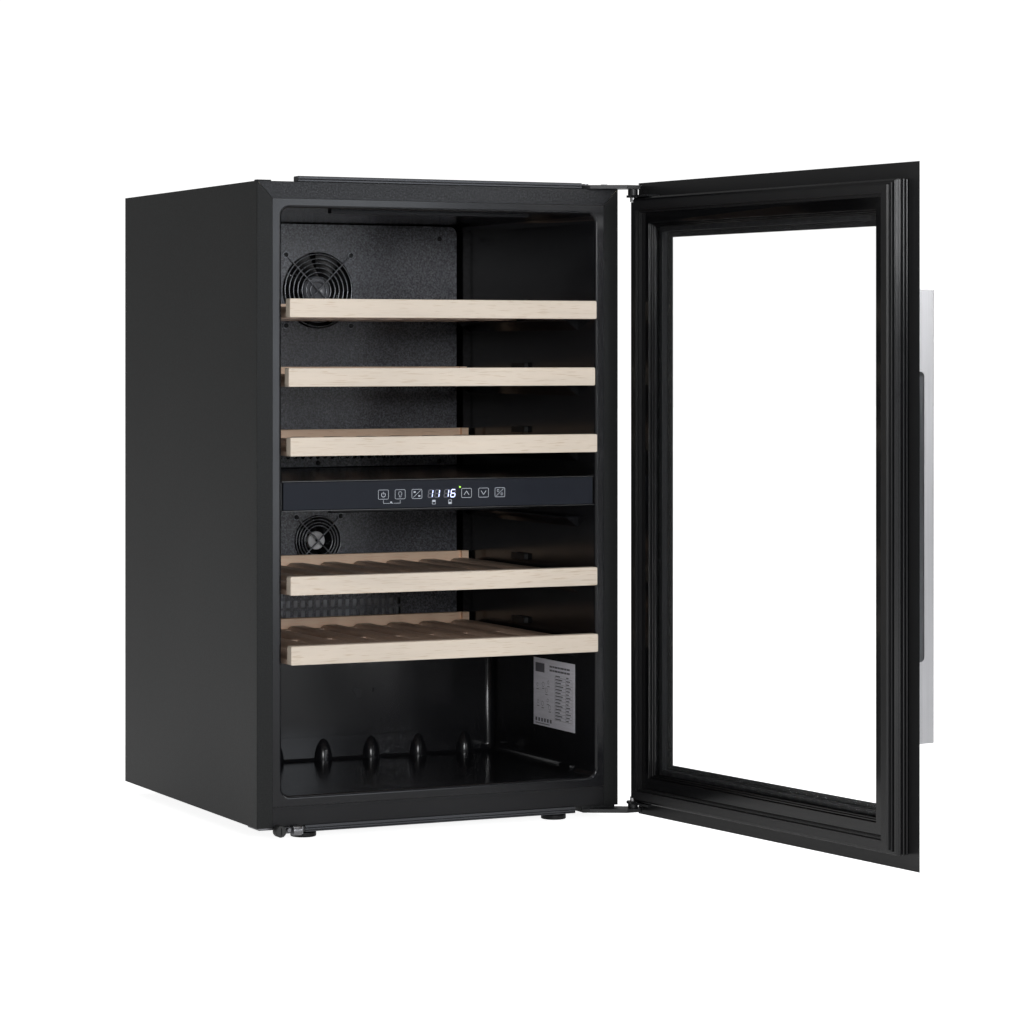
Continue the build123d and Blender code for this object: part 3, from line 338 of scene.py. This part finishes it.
# Metals: name, colour, roughness and the stretch of the brush lines along each axis.
bar_metal = brushed("bar_metal", (0.06, 0.062, 0.068), 0.36, (4, 900, 900), metallic=0.6)
handle_steel = brushed("handle_steel", (0.51, 0.51, 0.525), 0.34, (1400, 1400, 6))
steel = brushed("steel", (0.58, 0.58, 0.59), 0.30, (700, 700, 60))
dark_steel = brushed("dark_steel", (0.22, 0.22, 0.23), 0.35, (700, 700, 60))
aluminium = brushed("aluminium", (0.50, 0.51, 0.53), 0.42, (30, 600, 600))
guard_wire = brushed("guard_wire", (0.30, 0.31, 0.33), 0.30, (500, 500, 500), metallic=0.9)
label_film = brushed("label_film", (0.92, 0.92, 1.0), 0.38, (40, 40, 600), metallic=0.05, strength=0.02)
spacer_dark = dotted_metal("spacer_dark", (0.008, 0.008, 0.009), (0.06, 0.062, 0.066))

# Glass, lit figures, and print given a painted glow.
outer_glass = clear_glass("outer_glass", (0.10, 0.12, 0.12), 0.02)
inner_glass = clear_glass("inner_glass", (0.55, 0.60, 0.60), 0.02)
# The panel's print glows as painted light; it is no lamp.
print_painted_glow = glowing("print_painted_glow", (0.40, 0.43, 0.48), 0.35)
digit_lit = glowing("digit_lit", (0.60, 0.66, 1.0), 1.3)
green_lit = glowing("green_lit", (0.30, 0.62, 0.05), 1.6)


def dress(material, *names):
    """Gives CAD nodes a material."""
    for name in names:
        node = frame["nodes"][name]
        if not node.material_slots:
            node.data.materials.append(material)
        for place in node.material_slots:
            place.material = material


dress(cabinet_paint, "side_panel_left", "side_panel_right", "back_panel", "base_pan", "compartment_cover")
dress(front_paint, "top_panel")
dress(fascia_black, "bottom_fascia")
dress(bar_metal, "top_trim_bar", "bottom_trim_bar")
dress(foam_cream, "insulation_foam")
dress(liner_plastic, "inner_liner")
dress(soft_black, "shelf_stops", "door_catch_adjuster", "drip_tray", "mains_inlet")
dress(divider_black, "zone_divider")
dress(panel_black, "control_glass")
dress(circuit_green, "control_board")
dress(diffuser, "light_bars")
dress(cover_paint, "evaporator_cover_upper", "evaporator_cover_lower")
dress(aluminium, "evaporator_upper", "evaporator_lower")
dress(satin_black, "fan_frame_upper", "fan_frame_lower", "condenser")
dress(guard_wire, "fan_guard_upper", "fan_guard_lower")
dress(label_film, "rating_label")
dress(hinge_coat, "hinge_plate_top", "hinge_plate_bottom", "door_bracket_top", "door_bracket_bottom")
dress(steel, "hinge_pins")
dress(dark_steel, "hinge_screws", "door_catch_bracket")
dress(outer_glass, "door_glass")
dress(inner_glass, "door_inner_pane")
dress(spacer_dark, "glass_spacer")
dress(profile_plastic, "door_frame")
dress(gasket_rubber, "door_gasket")
dress(handle_steel, "door_handle")
dress(compressor_enamel, "compressor")
dress(satin_black, "foot_front_left", "foot_front_right", "foot_rear_left", "foot_rear_right")
REAR_BOARD = 14.5 * MM  # the rear board of a shelf, 14 mm thick, and half a millimetre in front of it
for number in SHELVES:
    frame_name = f"shelf_{number}_frame"
    rear_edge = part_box(frame_name)[1][1] - REAR_BOARD
    board_beech = beech(f"beech_board_{number}", number * 3.1, BOARD_TONE)
    # The frame's rear board is painted lighter and its slat part darker, as painted light and shade.
    frame_beech = beech(f"beech_frame_{number}", number * 5.3, LIT_REAR_TONE, rear_edge)
    dress(board_beech, f"shelf_{number}_front_board")
    dress(frame_beech, frame_name)


def soften(width, *names):
    """Rounds the hard edges of CAD nodes with a modifier, so that they catch the light."""
    for name in names:
        node = frame["nodes"][name]
        weld = node.modifiers.new("weld", "WELD")
        weld.merge_threshold = 0.01 * MM
        bevel = node.modifiers.new("soft_edges", "BEVEL")
        bevel.width = width
        bevel.segments = 2
        bevel.limit_method = "ANGLE"
        bevel.angle_limit = math.radians(40)
        bevel.harden_normals = True


soften(0.6 * MM, "door_frame", "top_panel", "bottom_fascia", "top_trim_bar", "bottom_trim_bar")
soften(0.9 * MM, "inner_liner")
soften(0.5 * MM, "side_panel_left", "side_panel_right", "zone_divider", "control_glass")
soften(0.4 * MM, "door_glass", "door_handle", "door_catch_bracket", "hinge_plate_top", "hinge_plate_bottom")
soften(0.8 * MM, *(f"shelf_{number}_front_board" for number in SHELVES))


# ---- mesh helpers -----------------------------------------------------------------------------
def mesh_object(name, bm, *materials):
    """Turns a bmesh into an object with its materials."""
    mesh = bpy.data.meshes.new(name)
    bm.to_mesh(mesh)
    bm.free()
    for material in materials:
        mesh.materials.append(material)
    piece = bpy.data.objects.new(name, mesh)
    bpy.context.scene.collection.objects.link(piece)
    return piece


def ring_pairs(count):
    """Each index of a closed ring with the next one."""
    return [(i, (i + 1) % count) for i in range(count)]


def join_rings(bm, first, second, material=0):
    """Faces between two closed rings with as many points each."""
    for i, j in ring_pairs(len(first)):
        face = bm.faces.new((first[i], first[j], second[j], second[i]))
        face.material_index = material


def prism(bm, outline, place, depth, material=0):
    """A flat outline given some depth; place maps (a, b, depth) to a point."""
    near = [bm.verts.new(place(a, b, 0.0)) for a, b in outline]
    far = [bm.verts.new(place(a, b, depth)) for a, b in outline]
    for end in (near, far[::-1]):
        bm.faces.new(end).material_index = material
    join_rings(bm, near[::-1], far[::-1], material)


def stroke(bm, points, width, place, depth, material=0, closed=False):
    """A flat line of even width through points, mitred at its corners."""
    route = [Vector(point) for point in points]
    count = len(route)
    left, right = [], []
    for i, point in enumerate(route):
        has_before = closed or i > 0
        has_after = closed or i < count - 1
        arriving = (point - route[i - 1]).normalized() if has_before else None
        leaving = (route[(i + 1) % count] - point).normalized() if has_after else arriving
        if arriving is None:
            arriving = leaving
        before_side = Vector((-arriving.y, arriving.x))
        after_side = Vector((-leaving.y, leaving.x))
        mitre = before_side + after_side
        mitre /= max(0.5, mitre.dot(before_side))
        left.append(point + mitre * width / 2)
        right.append(point - mitre * width / 2)
    spans = ring_pairs(count) if closed else ring_pairs(count)[:-1]
    for i, j in spans:
        quad = (right[i], right[j], left[j], left[i])
        prism(bm, [tuple(corner) for corner in quad], place, depth, material)


def arc(centre, radius, start, end, steps=14):
    """Points along an arc, in degrees."""
    points = []
    for i in range(steps + 1):
        angle = math.radians(start + (end - start) * i / steps)
        points.append((centre[0] + radius * math.cos(angle), centre[1] + radius * math.sin(angle)))
    return points


def rounded(centre, width, height, radius, steps=4):
    """The outline of a rectangle with round corners."""
    points = []
    for side, level, start in ((1, 1, 0), (-1, 1, 90), (-1, -1, 180), (1, -1, 270)):
        corner = (
            centre[0] + side * (width / 2 - radius),
            centre[1] + level * (height / 2 - radius),
        )
        points += arc(corner, radius, start, start + 90, steps)
    return points


def smooth(piece, angle=35):
    """Smooth shading that keeps edges sharper than an angle."""
    for polygon in piece.data.polygons:
        polygon.use_smooth = True
    piece.data.set_sharp_from_angle(angle=math.radians(angle))
    return piece


# ---- figures on the control panel, in millimetres from its centre ----------------------------
panel_low, panel_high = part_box("control_glass")
panel_z = (panel_low[2] + panel_high[2]) / 2
FACE_GAP = 0.05  # between a face and what is printed on it
PRINT_DEPTH = 0.03
FIGURE_DEPTH = 0.04
HALF_DIGIT = (3.1, 5.0)
SLANT = 0.14
SEGMENT_SETBACK = 0.75
SEGMENT_HALF_WIDTH = 0.72
SEGMENT_TIP = 0.6
SEGMENTS = {
    "a": ((-1, 1), (1, 1)),
    "b": ((1, 1), (1, 0)),
    "c": ((1, 0), (1, -1)),
    "d": ((-1, -1), (1, -1)),
    "e": ((-1, 0), (-1, -1)),
    "f": ((-1, 1), (-1, 0)),
    "g": ((-1, 0), (1, 0)),
}
LIT = {"1": "bc", "6": "acdefg"}
FIGURES = ((-16.5, "1"), (-6.5, "1"), (7.5, "1"), (17.5, "6"))


def on_panel(a, b, depth):
    """A point of the panel's face: a to the right, b up, depth out of it."""
    return (a * MM, panel_low[1] - (FACE_GAP + depth) * MM, panel_z + b * MM)


def digit(bm, centre, figure):
    """A seven-segment figure, slanted a little, with its unlit segments dim."""
    for name, ends in SEGMENTS.items():
        start, end = (Vector((a * HALF_DIGIT[0], b * HALF_DIGIT[1])) for a, b in ends)
        along = (end - start).normalized()
        start += along * SEGMENT_SETBACK
        end -= along * SEGMENT_SETBACK
        side = Vector((-along.y, along.x)) * SEGMENT_HALF_WIDTH
        tip = along * SEGMENT_TIP
        hexagon = (start - tip, start - side, end - side, end + tip, end + side, start + side)
        outline = [(centre + point.x + point.y * SLANT, point.y) for point in hexagon]
        prism(bm, outline, on_panel, FIGURE_DEPTH, 0 if name in LIT[figure] else 1)


bm = bmesh.new()
for centre, figure in FIGURES:
    digit(bm, centre, figure)
digits = mesh_object("panel_digits", bm, digit_lit, digit_dim)
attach(digits, "cabinet")

THIN, LINE, BOLD = 0.5, 0.55, 0.8
POWER, LAMP, ZONE, UP, DOWN, SCALE = (-87, -62, -37, 38, 64, 89)
marks_mesh = bmesh.new()


def panel_line(points, width=LINE, closed=False):
    """A printed line on the panel."""
    stroke(marks_mesh, points, width, on_panel, PRINT_DEPTH, closed=closed)


def panel_patch(outline):
    """A printed filled shape on the panel."""
    prism(marks_mesh, outline, on_panel, PRINT_DEPTH)


def key_frames():
    """The rounded frame of each key."""
    for key in (POWER, LAMP, ZONE, UP, DOWN, SCALE):
        panel_line(rounded((key, 0), 15, 12.5, 1.6), closed=True)


def power_key():
    """An open ring and a bar."""
    panel_line(arc((POWER, -0.4), 2.9, 120, 420), BOLD)
    panel_line([(POWER, 0.2), (POWER, 3.6)], BOLD)


def lamp_key():
    """A bulb, its neck and a base line."""
    panel_line(arc((LAMP, 1.0), 2.5, -55, 235))
    for side in (-1.2, 1.2):
        panel_line([(LAMP + side, -1.2), (LAMP + side, -3.4)])
    panel_line([(LAMP - 1.4, -3.7), (LAMP + 1.4, -3.7)])


def zone_key():
    """A slash between two small marks."""
    panel_line([(ZONE - 5.5, -4.8), (ZONE + 5.5, 4.8)])
    for a, b in ((-3.4, 2.6), (3.6, -2.8)):
        panel_patch(rounded((ZONE + a, b), 3.2, 2.2, 0.5))


def arrow_keys():
    """An open arrow up and one down."""
    for key, rise in ((UP, 2.6), (DOWN, -2.6)):
        panel_line([(key - 3.8, -rise), (key, rise), (key + 3.8, -rise)], BOLD)


def scale_key():
    """A slash between two small rings."""
    panel_line([(SCALE - 5.4, -4.8), (SCALE + 5.4, 4.8)])
    for a, b in ((-2.8, 2.4), (3.0, -2.4)):
        panel_line(arc((SCALE + a, b), 1.5, 0, 330))


def lock_bracket():
    """A bracket under the first two keys, with a small key between its ends."""
    top, foot, reach = -7.6, -12.0, 9.5
    for key, inward in ((POWER, reach), (LAMP, -reach)):
        panel_line([(key, top), (key, foot), (key + inward, foot)], THIN)
    bow = (-75.6, -10.8)
    panel_patch(arc(bow, 1.4, 0, 330, 10))
    panel_line([bow, (bow[0] + 3.0, bow[1] - 1.4)], 0.7)


def zone_marks():
    """A small cabinet under each figure, filled in its upper or its lower half."""
    level = -11.6
    for centre, filled in ((-11.5, 1.4), (13.0, -1.4)):
        panel_line(rounded((centre, level), 4.6, 5.4, 0.5, 2), THIN, closed=True)
        panel_patch(rounded((centre, level + filled), 3.8, 2.2, 0.3, 2))


for draw in (
    key_frames, power_key, lamp_key, zone_key, arrow_keys, scale_key, lock_bracket, zone_marks,
):
    draw()
# The printed marks glow with painted light from their material.
marks = mesh_object("panel_marks", marks_mesh, print_painted_glow)
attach(marks, "cabinet")

bm = bmesh.new()
prism(bm, arc((28, 8.4), 1.3, 0, 330, 10), on_panel, FIGURE_DEPTH)
lamp = mesh_object("panel_lamp", bm, green_lit)
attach(lamp, "cabinet")


# ---- print on the rating label, in millimetres from its rear foot -----------------------------
label_low, label_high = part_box("rating_label")
label_mesh = bmesh.new()


def on_label(a, b, depth):
    """A point of the label's face: a from its rear edge to its front edge, b up from its foot."""
    return (label_low[0] - (FACE_GAP + depth) * MM, label_high[1] - a * MM, label_low[2] + b * MM)


def bar(a, b, width, height):
    """A printed bar, from its lower rear corner."""
    corners = [(a, b), (a + width, b), (a + width, b + height), (a, b + height)]
    prism(label_mesh, corners, on_label, PRINT_DEPTH)


def label_heading():
    """A plain block, and two rows of bars in place of words."""
    bar(6, 77, 28, 13)
    for foot in (86, 80.5):
        cursor = 50.0
        for length in (9, 6, 11, 7, 12, 8, 10):
            bar(cursor, foot, length - 1.2, 2.6)
            cursor += length


def label_table():
    """A ruled table of two columns, with a bar of uneven length in each cell."""
    rows, step, hairline = 14, 4.7, 0.35
    left, middle, right = 66, 99, 119
    top = 73.0
    foot = top - (rows - 1) * step
    for row in range(rows):
        rule = top - row * step
        bar(left, rule, right - left, hairline)
        bar(left + 2, rule + 1.3, 14 + (row * 7) % 11, 1.6)
        bar(middle + 2, rule + 1.3, 7 + (row * 5) % 8, 1.6)
    for column in (left, middle, right):
        bar(column, foot, hairline, top + 0.3 - foot)


def label_diagram():
    """Rings with a short bar under each, small squares in a row, and a line under them."""
    spots = ((12, 58), (30, 60), (46, 64), (40, 52), (14, 34), (28, 32), (44, 38), (50, 28))
    for number, (a, b) in enumerate(spots):
        ring = arc((a, b), 3.4 if number % 2 else 2.4, 0, 345, 12)
        stroke(label_mesh, ring, THIN, on_label, PRINT_DEPTH)
        bar(a - 3, b - 6.5, 7, 0.9)
    for square in range(6):
        bar(6 + square * 9, 6, 5, 5)
    bar(6, 2.6, 44, 1.0)


label_heading()
label_table()
label_diagram()
label_print = mesh_object("label_print", label_mesh, label_ink)
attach(label_print, "cabinet")


# ---- printed border behind the door's outer glass ---------------------------------------------
# It is drawn with the door shut, then swung open about the hinge as the CAD door is.
hinge = next(joint for joint in frame["joints"] if joint["name"] == "door_hinge")
pivot = Vector((hinge["pos_m"][0], hinge["pos_m"][1], 0))
swing = math.radians(-hinge["range_deg"][0])
door_open = Matrix.Translation(pivot) @ Matrix.Rotation(swing, 4, "Z") @ Matrix.Translation(-pivot)
glass_low, glass_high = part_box("door_glass")
GLASS_HALF = 296 * MM
PRINT_SETBACK = 0.8 * MM
WINDOW_HALF = 215 * MM
WINDOW_BOTTOM = 82 * MM
WINDOW_TOP = 811 * MM
PRINT_FRONT = -32.96 * MM  # the glass's rear face is at -33 mm
PRINT_REAR = -32.86 * MM


def upright_ring(bm, half_width, bottom, top, y):
    """The four corners of a rectangle that stands across the door."""
    corners = ((-half_width, bottom), (half_width, bottom), (half_width, top), (-half_width, top))
    return [bm.verts.new((x, y, z)) for x, z in corners]


bm = bmesh.new()
border_size = (GLASS_HALF - PRINT_SETBACK, glass_low[2] + PRINT_SETBACK, glass_high[2] - PRINT_SETBACK)
window_size = (WINDOW_HALF, WINDOW_BOTTOM, WINDOW_TOP)
border_front = upright_ring(bm, *border_size, PRINT_FRONT)
window_front = upright_ring(bm, *window_size, PRINT_FRONT)
border_rear = upright_ring(bm, *border_size, PRINT_REAR)
window_rear = upright_ring(bm, *window_size, PRINT_REAR)
join_rings(bm, border_front, window_front)
join_rings(bm, window_front, window_rear)
join_rings(bm, window_rear, border_rear)
join_rings(bm, border_rear, border_front)
bm.transform(door_open)
border = mesh_object("door_glass_print", bm, screen_print)
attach(border, "door")


# ---- fans -------------------------------------------------------------------------------------
BLADES = 7
BLADE_CELLS = 8  # along a blade, and across it
BLADE_THICKNESS = 1.1 * MM
BLADE_CAMBER = 1.2 * MM
BLADE_CLEARANCE = 3.5 * MM  # what a blade leaves free of the impeller's depth
EDGE_TAPER = 0.35  # thickness left at a blade's long edges
SWEEP, BOW = 0.30, 0.10  # how far a blade leans and bends along the turn, in radians
CHORD, CHORD_LOSS = 0.72, 0.10  # the angle that a blade spans at its root, and what its tip loses
PITCH, PITCH_LOSS = 0.95, 0.25  # the same for the share of the depth that it rises through
TIP_GAP = 0.4 * MM
HUB_SHARE = 0.38
HUB_SINK = 0.985  # a blade starts a little inside the hub
HUB_STEPS = 48


def round_ring(bm, radius, y, centre_z, steps):
    """A ring of points about a line along Y, or one point where the radius is zero."""
    if radius == 0.0:
        return [bm.verts.new((0, y, centre_z))]
    turns = [2 * math.pi * i / steps for i in range(steps)]
    return [bm.verts.new((radius * math.cos(t), y, centre_z + radius * math.sin(t))) for t in turns]


def make_hub(bm, radius, front, back, centre_z):
    """A turned hub: a shallow dish in a stepped face, then a rim and an open back."""
    depth = back - front - 1 * MM
    profile = (
        (0.0, 1.6 * MM), (0.30, 1.6 * MM), (0.36, 0.8 * MM), (0.74, 0.8 * MM), (0.78, 0.2 * MM),
        (0.93, 0.2 * MM), (1.0, 1.4 * MM), (1.0, depth), (0.86, depth), (0.86, 4 * MM),
    )
    rings = [round_ring(bm, radius * share, front + y, centre_z, HUB_STEPS) for share, y in profile]
    middle = rings[0][0]
    for i, j in ring_pairs(HUB_STEPS):
        bm.faces.new((middle, rings[1][j], rings[1][i]))
    for first, second in zip(rings[1:], rings[2:]):
        join_rings(bm, first, second)


def make_blade(bm, base, front, back, root, tip, centre_z):
    """One curved blade: two sheets, closed round their edges."""

    def place(share, across, lift):
        """share runs from the root to the tip, across from one long edge to the other."""
        radius = root + (tip - root) * share
        lead = base + SWEEP * share + BOW * math.sin(share * math.pi)
        angle = lead + (CHORD - CHORD_LOSS * share) * (across - 0.5)
        rise = (back - front - BLADE_CLEARANCE) * (across - 0.5) * (PITCH - PITCH_LOSS * share)
        camber = BLADE_CAMBER * math.sin(across * math.pi)
        y = (front + back) / 2 + rise - camber + lift
        return (radius * math.cos(angle), y, centre_z + radius * math.sin(angle))

    cells = range(BLADE_CELLS)
    lines = range(BLADE_CELLS + 1)
    sheets = []
    for face_side in (-0.5, 0.5):
        sheet = []
        for s in lines:
            row = []
            for c in lines:
                taper = EDGE_TAPER if c in (0, BLADE_CELLS) else 1.0
                lift = face_side * BLADE_THICKNESS * taper
                row.append(bm.verts.new(place(s / BLADE_CELLS, c / BLADE_CELLS, lift)))
            sheet.append(row)
        sheets.append(sheet)
    lower, upper = sheets
    quads = []
    for sheet in sheets:
        for s in cells:
            for c in cells:
                quads.append((sheet[s][c], sheet[s][c + 1], sheet[s + 1][c + 1], sheet[s + 1][c]))
    for edge in (0, BLADE_CELLS):
        for k in cells:
            quads.append((lower[k][edge], lower[k + 1][edge], upper[k + 1][edge], upper[k][edge]))
            quads.append((lower[edge][k], upper[edge][k], upper[edge][k + 1], lower[edge][k + 1]))
    for quad in quads:
        bm.faces.new(quad).material_index = 1


def make_impeller(which, hub_material):
    """Curved blades on a hub with a stepped face, in place of the plain CAD impeller."""
    node = f"fan_impeller_{which}"
    low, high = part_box(node)
    centre_z = (low[2] + high[2]) / 2
    tip = (high[2] - low[2]) / 2 - TIP_GAP
    hub = tip * HUB_SHARE
    bm = bmesh.new()
    make_hub(bm, hub, low[1], high[1], centre_z)
    for blade in range(BLADES):
        base = 2 * math.pi * blade / BLADES
        make_blade(bm, base, low[1], high[1], hub * HUB_SINK, tip, centre_z)
    bmesh.ops.recalc_face_normals(bm, faces=bm.faces)
    impeller = smooth(mesh_object(f"impeller_{which}", bm, hub_material, satin_black))
    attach(impeller, f"fan_{which}")
    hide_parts(node)


make_impeller("upper", hub_dark)
make_impeller("lower", hub_light)


# ---- screws with cross recesses, on the two covers and the two fan guards ---------------------
HEAD_RADIUS = 3.6 * MM
HEAD_HEIGHT = 2.2 * MM
HEAD_STEPS = 24
HEAD_PROFILE = ((1.0, 0.0), (1.0, 0.45), (0.93, 0.72), (0.78, 0.92), (0.55, 1.0))  # (radius, rise)
CROSS_ARM = 0.46 * HEAD_RADIUS
CROSS_HALF = 0.11 * HEAD_RADIUS
WELL_TAPER = 0.7
WELL_DEPTH = 0.7 * HEAD_HEIGHT
OUT = Vector((0, -1, 0))
SIDE = OUT.orthogonal().normalized()
UP = OUT.cross(SIDE)
COVER_SCREWS = ((824, (-200, 200)), (487.5, (-200, 0, 200)), (425, (-200, 200)), (228, (-200, 200)))
GUARD_INSET = 4.4 * MM
GUARD_LIFT = 0.1 * MM


def cross_outline(turn):
    """The twelve corners of a cross, turned by an angle."""
    arm, half = CROSS_ARM, CROSS_HALF
    corners = (
        (arm, -half), (arm, half), (half, half), (half, arm), (-half, arm), (-half, half),
        (-arm, half), (-arm, -half), (-half, -half), (-half, -arm), (half, -arm), (half, -half),
    )
    cos_turn, sin_turn = math.cos(turn), math.sin(turn)
    return [(a * cos_turn - b * sin_turn, a * sin_turn + b * cos_turn) for a, b in corners]


def pan_head(bm, centre, turn):
    """A domed screw head that faces forward, with a cross recess turned by an angle."""

    def ring(outline, rise):
        """An outline across the head, raised out of the face."""
        return [bm.verts.new(centre + SIDE * a + UP * b + OUT * rise) for a, b in outline]

    dome = []
    for share, rise in HEAD_PROFILE:
        circle = arc((0, 0), HEAD_RADIUS * share, 0, 360, HEAD_STEPS)[:-1]
        dome.append(ring(circle, HEAD_HEIGHT * rise))
    for first, second in zip(dome, dome[1:]):
        join_rings(bm, first, second)
    cross = cross_outline(turn)
    mouth = ring(cross, HEAD_HEIGHT)
    well = ring([(a * WELL_TAPER, b * WELL_TAPER) for a, b in cross], HEAD_HEIGHT - WELL_DEPTH)
    join_rings(bm, mouth, well)
    bm.faces.new(well)
    # The flat top fills the room between the dome's last ring and the mouth of the well.
    rims = []
    for loop in (dome[-1], mouth):
        rims += [bm.edges.get((loop[i], loop[j])) for i, j in ring_pairs(len(loop))]
    bmesh.ops.triangle_fill(bm, use_beauty=True, edges=rims)


bm = bmesh.new()
turn = 0.3
cover_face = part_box("evaporator_cover_upper")[0][1]
for height, places in COVER_SCREWS:
    for x in places:
        pan_head(bm, Vector((x * MM, cover_face, height * MM)), turn)
        turn += 0.7
for guard in ("fan_guard_upper", "fan_guard_lower"):
    low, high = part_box(guard)
    for x in (low[0] + GUARD_INSET, high[0] - GUARD_INSET):
        for z in (low[2] + GUARD_INSET, high[2] - GUARD_INSET):
            pan_head(bm, Vector((x, low[1] + GUARD_LIFT, z)), turn)
            turn += 0.9
bmesh.ops.recalc_face_normals(bm, faces=bm.faces)
screws = smooth(mesh_object("cover_screw_heads", bm, satin_black))
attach(screws, "cabinet")
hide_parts("cover_screws")


# ---- stage: floor, light, world ---------------------------------------------------------------
# To the camera the floor and the world are plain white; as light they are dimmer.
FLOOR_GLOW = (0.32, 0.9)
WORLD_GLOW = (0.26, 1.1)


def seen_or_lit(tree, glow, socket):
    """Gives a strength one value for the light it casts and another for what the camera sees."""
    rays = tree.nodes.new("ShaderNodeLightPath")
    lit, seen = glow
    tree.links.new(spread(tree, rays.outputs["Is Camera Ray"], lit, seen, 0.0, 1.0), socket)


floor_material, floor_tree, floor_shader = new_material("floor_white", (0.90, 0.90, 0.90), 0.8)
floor_shader.inputs["Emission Color"].default_value = (1.0, 1.0, 1.0, 1.0)
seen_or_lit(floor_tree, FLOOR_GLOW, floor_shader.inputs["Emission Strength"])
bm = bmesh.new()
bmesh.ops.create_grid(bm, x_segments=1, y_segments=1, size=30)
mesh_object("floor", bm, floor_material)


def softbox(name, place, target, size, energy, color=(1, 1, 1)):
    """A rectangular area light aimed at a point."""
    data = bpy.data.lights.new(name, "AREA")
    data.shape = "RECTANGLE"
    data.size, data.size_y = size
    data.energy = energy
    data.color = color
    lamp_object = bpy.data.objects.new(name, data)
    lamp_object.location = place
    direction = Vector(target) - Vector(place)
    lamp_object.rotation_euler = direction.to_track_quat("-Z", "Y").to_euler()
    bpy.context.scene.collection.objects.link(lamp_object)


softbox("front", (-0.9, -4.6, 1.2), (0, 0.2, 0.47), (1.3, 0.75), 65, (0.97, 0.98, 1.0))
softbox("tall", (1.50, -3.83, 0.80), (0, 0, 0.6), (0.60, 1.5), 14, (0.88, 0.93, 1.0))
softbox("strip", (2.5, -3.0, 1.55), (0.4, -0.3, 0.7), (0.5, 1.4), 26)
softbox("top", (0, -0.2, 3.2), (0, 0.2, 0.8), (2.6, 2.6), 34)

world = bpy.data.worlds.new("world")
world.use_nodes = True
background = world.node_tree.nodes["Background"]
background.inputs["Color"].default_value = (1.0, 1.0, 1.0, 1.0)
seen_or_lit(world.node_tree, WORLD_GLOW, background.inputs["Strength"])
bpy.context.scene.world = world
